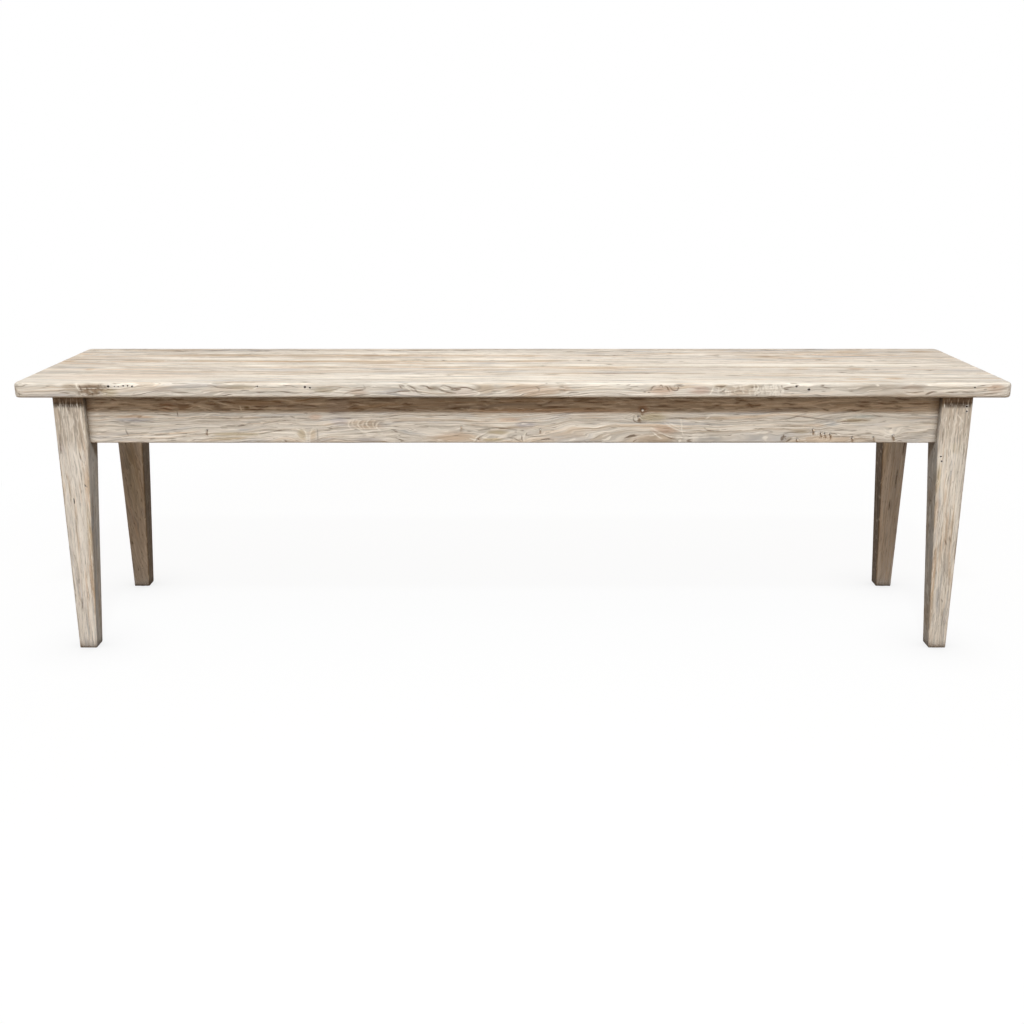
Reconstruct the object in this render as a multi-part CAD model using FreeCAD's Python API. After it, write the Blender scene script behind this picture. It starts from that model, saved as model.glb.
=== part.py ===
"""Farmhouse dining bench: a plank seat on a mortised frame with four tapered legs.

Millimetres. +X runs along the bench, +Y towards its back and +Z up. The origin is on the
floor, under the middle of the seat. The right-hand back corner is modelled and mirrored.
"""

import FreeCAD, Part
import math
import os

from FreeCAD import Vector

# Seat panel
bench_height = 463.0
seat_length = 1600.0
seat_thickness = 25.0
front_plank_width = 86.0
inner_front_plank_width = 72.0
middle_plank_width = 62.0
inner_back_plank_width = 86.0
back_plank_width = 54.0
seat_corner_radius = 12.0
seat_upper_edge_radius = 7.0
seat_lower_edge_radius = 3.0
end_overhang = 57.0
side_overhang = 12.0

# Loose tongues in the joints between planks, above the points of the screws
tongue_width = 16.0
tongue_thickness = 5.0
tongue_end_stop = 40.0
tongue_clearance = 0.2
tongue_lift = 1.0

# Legs, square down to the rails and tapered on their two inner faces below
leg_size = 50.0
foot_size = 30.0
leg_arris = 2.0
foot_chamfer = 1.0

# Rails under the seat
rail_height = 80.0
rail_thickness = 22.0
rail_setback = 14.0
rail_arris = 2.0

# Haunched tenons, mitred where the two rails meet inside a leg
tenon_thickness = 10.0
tenon_lower_shoulder = 8.0
haunch_height = 14.0
haunch_length = 8.0
mitre_gap = 0.3
glue_gap = 0.15

# Cross rails, let into stopped housings in the long rails
cross_rail_thickness = 22.0
cross_rail_lift = 18.0
cross_rail_offset = 330.0
housing_depth = 6.0

# Braces glued across the inside corners of the frame
brace_width = 28.0
brace_inset = 18.0
brace_leg_gap = 4.0

# Wooden buttons that hold the seat down and let it swell and shrink
button_width = 28.0
button_reach = 32.0
button_drop = 22.0
button_slack = 1.0
button_tongue_length = 9.0
button_tongue_height = 8.0
button_lip = 11.0
button_screw_inset = 18.0
slot_play = 3.0
slot_clearance = 1.0

# Round-headed wood screws
screw_diameter = 4.0
screw_head_diameter = 8.0
screw_head_height = 2.4
screw_clearance = 0.1
seat_cover_over_screw = 14.0

# Glides, each a thin disc with a peg driven up into the foot
glide_diameter = 22.0
glide_height = 1.0
glide_peg_diameter = 6.0
glide_peg_length = 16.0
glide_peg_clearance = 0.1

# Places that follow from the sizes above, all in the right-hand back corner
plank_widths = {
    "front": front_plank_width,
    "inner_front": inner_front_plank_width,
    "middle": middle_plank_width,
    "inner_back": inner_back_plank_width,
    "back": back_plank_width,
}
seat_depth = sum(plank_widths.values())
seat_underside = bench_height - seat_thickness
screw_point = bench_height - seat_cover_over_screw
tongue_bottom = screw_point + tongue_lift
tongue_half_length = seat_length / 2 - tongue_end_stop
leg_x = seat_length / 2 - end_overhang
leg_y = seat_depth / 2 - side_overhang
foot_x = leg_x - foot_size / 2
foot_y = leg_y - foot_size / 2
shoulder_x = leg_x - leg_size
shoulder_y = leg_y - leg_size
rail_top = seat_underside
rail_bottom = rail_top - rail_height
end_rail_x = leg_x - rail_setback - rail_thickness / 2
long_rail_y = leg_y - rail_setback - rail_thickness / 2
end_rail_inner_x = end_rail_x - rail_thickness / 2
long_rail_inner_y = long_rail_y - rail_thickness / 2
tenon_bottom = rail_bottom + tenon_lower_shoulder
tenon_top = rail_top - haunch_height
cross_rail_bottom = rail_bottom + cross_rail_lift
leg_corner = leg_size - rail_setback - rail_thickness
brace_near = 2 * leg_corner + brace_leg_gap * math.sqrt(2)
brace_far = brace_near + brace_width * math.sqrt(2)
side_button_x = (cross_rail_offset + end_rail_inner_x - brace_far) / 2
long_button_stations = [-side_button_x, 0.0, side_button_x]
end_button_stations = [0.0]
button_bottom = rail_top - button_drop

rim_tolerance = 0.1
ORIGIN = Vector(0, 0, 0)
UP = Vector(0, 0, 1)


def box_between(low, high):
    """Box between two opposite corners."""
    size = [h - l for l, h in zip(low, high)]
    return Part.makeBox(*size, Vector(*low))


def prism(points, bottom, top):
    """Upright prism on a plan outline given as (x, y) points."""
    corners = [Vector(x, y, bottom) for x, y in points]
    return Part.Face(Part.makePolygon(corners + corners[:1])).extrude(UP * (top - bottom))


def mirror_x(shape):
    """The same piece at the other end of the bench."""
    return shape.mirror(ORIGIN, Vector(1, 0, 0))


def mirror_y(shape):
    """The same piece on the other side of the bench."""
    return shape.mirror(ORIGIN, Vector(0, 1, 0))


def turn_corner(shape):
    """A piece laid out along X, set along Y instead."""
    return shape.mirror(ORIGIN, Vector(1, -1, 0))


def four_corners(shape):
    """The right-hand back piece and its three mirror images, by corner name."""
    return {
        "back_right": shape,
        "back_left": mirror_x(shape),
        "front_right": mirror_y(shape),
        "front_left": mirror_x(mirror_y(shape)),
    }


def round_the_frame(long_piece_maker, end_piece_maker):
    """Pieces repeated along all four rails, from makers for the back rail and the right-hand rail."""
    back = [long_piece_maker(x) for x in long_button_stations]
    right = [turn_corner(end_piece_maker(y)) for y in end_button_stations]
    return back + [mirror_y(piece) for piece in back] + right + [mirror_x(piece) for piece in right]


def plank_edges():
    """Front and back edge of each plank, by name."""
    edges = {}
    front = -seat_depth / 2
    for name, width in plank_widths.items():
        edges[name] = (front, front + width)
        front += width
    return edges


def joint_places():
    """Place across the seat of each joint between planks, from the front."""
    return [back for front, back in plank_edges().values()][:-1]


def seat_panel():
    """The whole seat with its eased edges, before it is parted into planks."""
    low = Vector(-seat_length / 2, -seat_depth / 2, seat_underside)
    panel = Part.makeBox(seat_length, seat_depth, seat_thickness, low)
    corners = [edge for edge in panel.Edges if edge.BoundBox.ZLength > seat_thickness / 2]
    panel = panel.makeFillet(seat_corner_radius, corners)
    for height, radius in ((bench_height, seat_upper_edge_radius), (seat_underside, seat_lower_edge_radius)):
        rim = [edge for edge in panel.Edges if abs(edge.CenterOfMass.z - height) < rim_tolerance]
        panel = panel.makeFillet(radius, rim)
    return panel


def tongue(joint, clearance=0.0):
    """Loose tongue in one joint, or the groove for it when it is given a clearance."""
    length = tongue_half_length + clearance
    half = tongue_width / 2 + clearance
    low = (-length, joint - half, tongue_bottom - clearance)
    return box_between(low, (length, joint + half, tongue_bottom + tongue_thickness + clearance))


def screw_hole(station, inner_face, bottom, top):
    """Hole for one button screw, for a rail laid along X."""
    foot = Vector(station, inner_face - button_screw_inset, bottom)
    return Part.makeCylinder(screw_diameter / 2 + screw_clearance, top - bottom, foot)


def seat_planks():
    """The planks of the seat, grooved along their joints and drilled for the screws."""
    drilled_top = screw_point + screw_clearance
    holes = round_the_frame(
        lambda x: screw_hole(x, long_rail_inner_y, seat_underside, drilled_top),
        lambda y: screw_hole(y, end_rail_inner_x, seat_underside, drilled_top),
    )
    grooves = [tongue(joint, tongue_clearance) for joint in joint_places()]
    panel = seat_panel().cut(holes + grooves)
    planks = {}
    for name, (front, back) in plank_edges().items():
        slab = box_between((-seat_length, front, 0), (seat_length, back, 2 * bench_height))
        planks[name] = panel.common(slab)
    return planks


def leg_outline(size, height, inset=0.0):
    """Section of the right-hand back leg with its arrises off, measured from its outer corner."""
    centre_x = leg_x - size / 2
    centre_y = leg_y - size / 2
    half = size / 2 - inset
    flat = half - leg_arris
    turns = [(half, -flat), (half, flat), (flat, half), (-flat, half)]
    turns += [(-x, -y) for x, y in turns]
    points = [Vector(centre_x + x, centre_y + y, height) for x, y in turns]
    return Part.makePolygon(points + points[:1])


def leg_mortises():
    """Slots in the leg for both tenons and their haunches."""
    half = tenon_thickness / 2 + glue_gap
    slots = []
    for turn, shoulder, tip, across in (
        (False, shoulder_x, end_rail_x, long_rail_y),
        (True, shoulder_y, long_rail_y, end_rail_x),
    ):
        deep = box_between(
            (shoulder, across - half, tenon_bottom - glue_gap),
            (tip + half, across + half, tenon_top + glue_gap),
        )
        shallow = box_between(
            (shoulder, across - half, tenon_top),
            (shoulder + haunch_length + glue_gap, across + half, rail_top),
        )
        slots += [turn_corner(slot) if turn else slot for slot in (deep, shallow)]
    return slots


def leg():
    """Tapered leg with its mortises and the hole for its glide's peg."""
    taper = (leg_size - foot_size) / (rail_bottom - glide_height)
    sections = [
        leg_outline(foot_size, glide_height, foot_chamfer),
        leg_outline(foot_size + taper * foot_chamfer, glide_height + foot_chamfer),
        leg_outline(leg_size, rail_bottom),
        leg_outline(leg_size, rail_top),
    ]
    peg_hole = Part.makeCylinder(
        glide_peg_diameter / 2 + glide_peg_clearance,
        glide_peg_length + glide_peg_clearance,
        Vector(foot_x, foot_y, glide_height),
    )
    return Part.makeLoft(sections, True, True).cut(leg_mortises() + [peg_hole])


def foot_glide():
    """Glide under the right-hand back foot, with its peg."""
    disc = Part.makeCylinder(glide_diameter / 2, glide_height, Vector(foot_x, foot_y, 0))
    peg = Part.makeCylinder(glide_peg_diameter / 2, glide_peg_length, Vector(foot_x, foot_y, glide_height))
    return disc.fuse(peg)


def tenon(shoulder, tip, across):
    """Mitred tenon and its haunch on the +X end of a rail laid along X."""
    half = tenon_thickness / 2
    outline = [
        (shoulder, across - half),
        (tip - half - mitre_gap, across - half),
        (tip + half - mitre_gap, across + half),
        (shoulder, across + half),
    ]
    haunch = box_between(
        (shoulder, across - half, tenon_top), (shoulder + haunch_length, across + half, rail_top)
    )
    return prism(outline, tenon_bottom, tenon_top).fuse(haunch)


def tenoned_rail(shoulder, tip, across):
    """Rail along X with its lower arrises off and a tenon at each end."""
    low = (-shoulder, across - rail_thickness / 2, rail_bottom)
    board = box_between(low, (shoulder, across + rail_thickness / 2, rail_top))
    lower_edges = [
        edge
        for edge in board.Edges
        if edge.BoundBox.ZMax < rail_bottom + rail_arris and edge.BoundBox.XLength > shoulder
    ]
    end = tenon(shoulder, tip, across)
    return board.makeChamfer(rail_arris, lower_edges).fuse([end, mirror_x(end)]).removeSplitter()


def button_slots(stations, inner_face):
    """Slots for the buttons' tongues in the inner face of a rail laid along X."""
    half = button_width / 2 + slot_play
    top = rail_top - button_lip
    depth = button_tongue_length + slot_clearance
    bottom = top - button_tongue_height - slot_clearance
    return [
        box_between((x - half, inner_face, bottom), (x + half, inner_face + depth, top))
        for x in stations
    ]


def cross_rail_housings():
    """Stopped housings in the long rail, open at its upper edge."""
    half = cross_rail_thickness / 2 + glue_gap
    return [
        box_between(
            (x - half, long_rail_inner_y, cross_rail_bottom - glue_gap),
            (x + half, long_rail_inner_y + housing_depth, rail_top),
        )
        for x in (-cross_rail_offset, cross_rail_offset)
    ]


def long_rail():
    """Back rail with its tenons, housings and slots."""
    cuts = button_slots(long_button_stations, long_rail_inner_y) + cross_rail_housings()
    return tenoned_rail(shoulder_x, end_rail_x, long_rail_y).cut(cuts)


def end_rail():
    """Right-hand rail with its tenons and slot."""
    cuts = button_slots(end_button_stations, end_rail_inner_x)
    return turn_corner(tenoned_rail(shoulder_y, long_rail_y, end_rail_x).cut(cuts))


def cross_rail():
    """Right-hand cross rail, its ends in the housings."""
    half_thickness = cross_rail_thickness / 2
    half_length = long_rail_inner_y + housing_depth - glue_gap
    return box_between(
        (cross_rail_offset - half_thickness, -half_length, cross_rail_bottom),
        (cross_rail_offset + half_thickness, half_length, rail_top),
    )


def corner_brace():
    """Brace across the right-hand back corner, clear of the leg's inner edge."""
    outline = [
        (end_rail_inner_x - brace_near, long_rail_inner_y),
        (end_rail_inner_x - brace_far, long_rail_inner_y),
        (end_rail_inner_x, long_rail_inner_y - brace_far),
        (end_rail_inner_x, long_rail_inner_y - brace_near),
    ]
    return prism(outline, rail_bottom + brace_inset, rail_top - brace_inset)


def button(station, inner_face):
    """Button for a rail laid along X: a block with a tongue that bears on the slot's upper face."""
    half = button_width / 2
    tongue_top = rail_top - button_lip
    body = box_between(
        (station - half, inner_face - button_reach, button_bottom),
        (station + half, inner_face - glue_gap, rail_top - button_slack),
    )
    lip = box_between(
        (station - half, inner_face - button_reach, tongue_top - button_tongue_height),
        (station + half, inner_face + button_tongue_length, tongue_top),
    )
    hole = screw_hole(station, inner_face, button_bottom, rail_top)
    return body.fuse(lip).removeSplitter().cut(hole)


def button_screw(station, inner_face):
    """Screw up through a button into the seat, for a rail laid along X."""
    foot = Vector(station, inner_face - button_screw_inset, button_bottom)
    shank = Part.makeCylinder(screw_diameter / 2, screw_point - button_bottom, foot)
    head = Part.makeCylinder(screw_head_diameter / 2, screw_head_height, foot, -UP)
    return shank.fuse(head)


def bench_pieces():
    """Every node of the bench by name: one solid, or a group of like fittings."""
    pieces = {f"seat_plank_{name}": plank for name, plank in seat_planks().items()}
    for number, joint in enumerate(joint_places(), start=1):
        pieces[f"seat_tongue_{number}"] = tongue(joint)
    pieces["long_rail_back"] = long_rail()
    pieces["long_rail_front"] = mirror_y(pieces["long_rail_back"])
    pieces["end_rail_right"] = end_rail()
    pieces["end_rail_left"] = mirror_x(pieces["end_rail_right"])
    pieces["cross_rail_right"] = cross_rail()
    pieces["cross_rail_left"] = mirror_x(pieces["cross_rail_right"])
    for family, piece in (("leg", leg()), ("corner_brace", corner_brace()), ("foot_glide", foot_glide())):
        for corner, copy in four_corners(piece).items():
            pieces[f"{family}_{corner}"] = copy
    for group, maker in (("seat_buttons", button), ("button_screws", button_screw)):
        solids = round_the_frame(lambda x: maker(x, long_rail_inner_y), lambda y: maker(y, end_rail_inner_x))
        pieces[group] = Part.makeCompound(solids)
    return pieces


def main():
    """Builds every piece and writes it to its own file."""
    os.makedirs("parts", exist_ok=True)
    for name, shape in sorted(bench_pieces().items()):
        shape.exportStep(f"parts/{name}.step")
        volume = sum(solid.Volume for solid in shape.Solids)
        print(f"{name}: {len(shape.Solids)} solids, {volume / 1000:.1f} cm3, valid {shape.isValid()}")


main()
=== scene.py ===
"""Limed farmhouse dining bench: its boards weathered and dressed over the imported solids.

Metres, in the bench's own frame: +X along the seat, +Y to the back, +Z up, floor at zero.
"""

import logging
import math
import random
from dataclasses import dataclass, field, replace
from enum import Enum
from typing import Callable, Mapping

import bmesh
import bpy
import numpy as np
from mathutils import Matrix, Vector


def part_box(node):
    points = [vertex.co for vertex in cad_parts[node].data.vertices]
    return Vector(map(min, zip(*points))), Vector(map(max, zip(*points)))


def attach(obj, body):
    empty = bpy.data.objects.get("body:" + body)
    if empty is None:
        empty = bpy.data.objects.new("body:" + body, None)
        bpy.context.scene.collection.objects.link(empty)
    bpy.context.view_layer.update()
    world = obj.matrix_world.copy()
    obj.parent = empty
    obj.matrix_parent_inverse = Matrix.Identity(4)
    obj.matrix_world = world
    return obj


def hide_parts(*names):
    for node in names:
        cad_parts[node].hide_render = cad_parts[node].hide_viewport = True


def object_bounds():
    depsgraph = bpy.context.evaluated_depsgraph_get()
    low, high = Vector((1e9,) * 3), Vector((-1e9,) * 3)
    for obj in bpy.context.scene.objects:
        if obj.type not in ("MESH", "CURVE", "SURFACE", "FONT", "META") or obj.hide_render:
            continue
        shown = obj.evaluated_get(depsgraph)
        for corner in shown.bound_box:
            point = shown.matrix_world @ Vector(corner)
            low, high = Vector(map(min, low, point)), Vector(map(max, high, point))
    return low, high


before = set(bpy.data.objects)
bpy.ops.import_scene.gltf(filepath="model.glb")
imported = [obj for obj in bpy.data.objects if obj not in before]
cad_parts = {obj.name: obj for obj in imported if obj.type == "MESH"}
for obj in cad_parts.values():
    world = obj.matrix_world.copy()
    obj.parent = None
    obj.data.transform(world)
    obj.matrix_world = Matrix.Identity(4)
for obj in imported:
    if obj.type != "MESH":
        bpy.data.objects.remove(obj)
CAD_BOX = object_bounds()
MM = 0.001
TINY = 0.1 * MM
GROUP_GRADES = 8
SMOOTH_ANGLE = 40.0
FACE_NORMAL = 0.8
HOLE_ROUNDNESS = 0.85
HOLE_SIDES = 12
HOLE_MOUTH, HOLE_BOTTOM = 0.56, 0.44
LOG = logging.getLogger("bench")

Socket = bpy.types.NodeSocket
Colour = tuple[float, float, float, float]
Path = tuple[tuple[float, float], ...]


def linear(hex_colour: str) -> Colour:
    """Turns an sRGB hex colour into linear light.

    Args:
        hex_colour: six hex digits, with or without a leading hash.

    Returns:
        Linear red, green and blue with a full alpha.
    """
    digits = hex_colour.lstrip("#")
    shares = [int(digits[i:i + 2], 16) / 255 for i in (0, 2, 4)]
    light = [s / 12.92 if s <= 0.04045 else ((s + 0.055) / 1.055) ** 2.4 for s in shares]
    return (light[0], light[1], light[2], 1.0)


def add_node(
    tree: bpy.types.NodeTree,
    kind: str,
    inputs: Mapping[str | int, object] | None = None,
    out: str | int = 0,
    **settings: object,
) -> Socket | None:
    """Adds one shader node with its settings, values and links.

    Args:
        tree: the node tree that takes the node.
        kind: the node's type, such as ShaderNodeMath.
        inputs: input name or number to a value, or to the socket that feeds it.
        out: name or number of the output that is handed back.
        settings: attributes of the node itself.

    Returns:
        That output, or None for a node that has no outputs.
    """
    node = tree.nodes.new(kind)
    for name, value in settings.items():
        setattr(node, name, value)
    for key, value in (inputs or {}).items():
        if isinstance(value, Socket):
            tree.links.new(value, node.inputs[key])
        else:
            node.inputs[key].default_value = value
    return node.outputs[out] if node.outputs else None


def new_material(name: str) -> tuple[bpy.types.Material, bpy.types.NodeTree]:
    """Makes an empty node material.

    Args:
        name: the material's name.

    Returns:
        The material and its cleared node tree.
    """
    material = bpy.data.materials.new(name)
    material.use_nodes = True
    material.node_tree.nodes.clear()
    return material, material.node_tree


class Grain(Enum):
    """The way a board's fibres run, as the turn that lays them along X."""

    ALONG_X = (0.0, 0.0, 0.0)
    ALONG_Y = (0.0, 0.0, -90.0)
    ALONG_Z = (0.0, 90.0, 0.0)

    def turn(self) -> list[float]:
        """That turn in radians."""
        return [math.radians(angle) for angle in self.value]


class Face(Enum):
    """A face that the figure is drawn on and that holes are sunk into.

    Each holds the turn of a hole's cutter, the axis that a slant turns about, the axes along, up and into
    the face, and the way that it looks along the last of them.
    """

    FRONT = ((-90.0, 0.0, 0.0), (0.0, 1.0, 0.0), (0, 2, 1), -1.0)
    BACK = ((90.0, 0.0, 0.0), (0.0, 1.0, 0.0), (0, 2, 1), 1.0)
    TOP = ((180.0, 0.0, 0.0), (0.0, 0.0, 1.0), (0, 1, 2), 1.0)
    LEFT = ((0.0, 90.0, 0.0), (1.0, 0.0, 0.0), (1, 2, 0), -1.0)
    RIGHT = ((0.0, -90.0, 0.0), (1.0, 0.0, 0.0), (1, 2, 0), 1.0)


class Filling(Enum):
    """What fills a line of the figure, as the mesh attribute that carries it."""

    LIME = "lime"
    RESIN = "resin"


def smooth_curve(points: Path, spacing: float = 0.6) -> np.ndarray:
    """Draws a smooth curve through a few points.

    Args:
        points: the places that it passes through, in millimetres.
        spacing: the distance between the samples, in millimetres.

    Returns:
        Samples along the curve.
    """
    knots = np.array([points[0], *points, points[-1]], dtype=float)
    runs = []
    for before, start, end, after in zip(knots, knots[1:], knots[2:], knots[3:]):
        count = max(3, math.ceil(np.linalg.norm(end - start) / spacing) + 1)
        t = np.linspace(0.0, 1.0, count)[:, None]
        bend = (2 * before - 5 * start + 4 * end - after) * t ** 2
        turn = (3 * start - before - 3 * end + after) * t ** 3
        runs.append(0.5 * (2 * start + (end - before) * t + bend + turn))
    return np.vstack(runs)


@dataclass(frozen=True)
class Line:
    """A line of the wood's figure, drawn on a face.

    Attributes:
        filling: lime or resin.
        width: its width in millimetres.
        points: places that it passes through, along and up the face, in millimetres.
        share: how strongly it shows, from 0 to 1.
    """

    filling: Filling
    width: float
    points: Path
    share: float = 1.0

    def mirrored(self) -> "Line":
        """The same line with left and right exchanged."""
        return replace(self, points=tuple((-along, up) for along, up in self.points))

    def cover(self, flat: np.ndarray) -> np.ndarray:
        """Works out how strongly the line shows.

        Args:
            flat: places along and up the face, in millimetres.

        Returns:
            A share from 0 to 1 for each place, thinner towards the line's ends.
        """
        curve = smooth_curve(self.points)
        margin = 2 * self.width
        inside = (flat > curve.min(axis=0) - margin) & (flat < curve.max(axis=0) + margin)
        near = np.nonzero(inside.all(axis=1))[0]
        shares = np.zeros(len(flat))
        if len(near):
            gaps = np.linalg.norm(flat[near, None] - curve[None], axis=2)
            run = np.clip(gaps.argmin(axis=1) / (len(curve) - 1), 0.08, 0.92)
            shares[near] = np.sin(np.pi * run) ** 0.5 * np.exp(-(2 * gaps.min(axis=1) / self.width) ** 2)
        return self.share * shares


@dataclass(frozen=True)
class Stain:
    """A soft patch of colour on a face.

    Attributes:
        place: its middle along and up the face, in millimetres.
        reach: how far it spreads along and up, in millimetres.
        colour: its colour.
        share: how strongly it shows in its middle, from 0 to 1.
    """

    place: tuple[float, float]
    reach: tuple[float, float]
    colour: str
    share: float = 0.7

    def mirrored(self) -> "Stain":
        """The same stain with left and right exchanged."""
        return replace(self, place=(-self.place[0], self.place[1]))

    def cover(self, flat: np.ndarray) -> np.ndarray:
        """Works out how strongly the stain shows.

        Args:
            flat: places along and up the face, in millimetres.

        Returns:
            A share from 0 to 1 for each place.
        """
        square = (((flat - np.array(self.place)) / np.array(self.reach)) ** 2).sum(axis=1)
        return self.share * np.exp(-square ** 2)


@dataclass(frozen=True)
class Figure:
    """The marks on one face of a board.

    Attributes:
        face: the face that they lie on.
        plane: where that face lies along its own axis, in millimetres.
        lines: lines of lime and resin.
        stains: patches of colour, each laid over those before it.
        fade: how far behind the face the marks reach, in millimetres.
    """

    face: Face
    plane: float
    lines: tuple[Line, ...] = ()
    stains: tuple[Stain, ...] = ()
    fade: float = 4.0

    def on_the_back(self) -> "Figure":
        """The same marks on the opposite long side, with left and right exchanged."""
        return replace(
            self, face=Face.BACK, plane=-self.plane, lines=tuple(line.mirrored() for line in self.lines),
            stains=tuple(stain.mirrored() for stain in self.stains),
        )


def drawn(filling: Filling, width: float, *paths: Path, share: float = 1.0) -> tuple[Line, ...]:
    """Draws lines of one kind.

    Args:
        filling: lime or resin.
        width: their width in millimetres.
        paths: the points of each line.
        share: how strongly they show, from 0 to 1.

    Returns:
        The lines.
    """
    return tuple(Line(filling, width, path, share) for path in paths)


def scattered(
    filling: Filling,
    width: float,
    count: int,
    along: tuple[float, float],
    up: tuple[float, float],
    seed: int,
    upright: bool = False,
    share: float = 0.75,
    reach: tuple[float, float] = (4.0, 22.0),
) -> tuple[Line, ...]:
    """Scatters short, slightly bent lines over a stretch of a face.

    Args:
        filling: lime or resin.
        width: their width in millimetres.
        count: how many there are.
        along: where the stretch starts and ends along the face, in millimetres.
        up: where it starts and ends up the face, in millimetres.
        seed: starts the dice, so that the lines are the same every time.
        upright: whether they run up the face and not along it.
        share: how strongly they show, from 0 to 1.
        reach: half the length of the shortest and of the longest, in millimetres.

    Returns:
        The lines.
    """
    dice = random.Random(seed)
    lines = []
    for _ in range(count):
        middle = (dice.uniform(*along), dice.uniform(*up))
        half = dice.uniform(*reach)
        path = [(step * half, dice.uniform(-1.2, 1.2)) for step in (-1.0, -0.4, 0.2, 1.0)]
        if upright:
            path = [(b, a) for a, b in path]
        lines.append(Line(filling, width, tuple((middle[0] + a, middle[1] + b) for a, b in path), share))
    return tuple(lines)


@dataclass(frozen=True)
class Bend:
    """A knot or loop that pushes the growth rings out of line.

    Attributes:
        place: its middle in millimetres, in the bench's frame.
        reach: how far it spreads along x, y and z, in millimetres.
        rings: how many rings it pushes.
    """

    place: tuple[float, float, float]
    reach: tuple[float, float, float]
    rings: float


@dataclass(frozen=True)
class Flaw:
    """A worm hole or shake, sunk into one face of a board.

    Attributes:
        place: its mouth in millimetres, in the bench's frame.
        length: its size along the board, in millimetres.
        width: its size across the board, in millimetres.
        depth: how deep it goes, in millimetres.
        face: the face that it opens on.
        slant: its turn on that face, in degrees.
    """

    place: tuple[float, float, float]
    length: float
    width: float
    depth: float = 6.0
    face: Face = Face.FRONT
    slant: float = 0.0


def worm_holes(face: float, holes: Mapping[float, Path]) -> tuple[Flaw, ...]:
    """Places nearly round holes on a front face.

    Args:
        face: where the face lies across the bench, in millimetres.
        holes: size of a hole to its places along and up the face, in millimetres.

    Returns:
        The holes.
    """
    return tuple(
        Flaw((x, face, z), size, HOLE_ROUNDNESS * size)
        for size, places in holes.items() for x, z in places
    )


@dataclass(frozen=True)
class Streak:
    """One layer of the wood's pattern, a noise drawn out along the grain.

    Attributes:
        across: its spacing across the grain, in millimetres.
        along: its spacing along the grain, in millimetres.
        low: the noise at which it starts to show.
        high: the noise at which it shows in full.
        start: its share below the low value.
        end: its share above the high value.
        detail: how many finer octaves it has.
    """

    across: float
    along: float
    low: float
    high: float
    start: float = 0.0
    end: float = 1.0
    detail: float = 2.0


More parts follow.
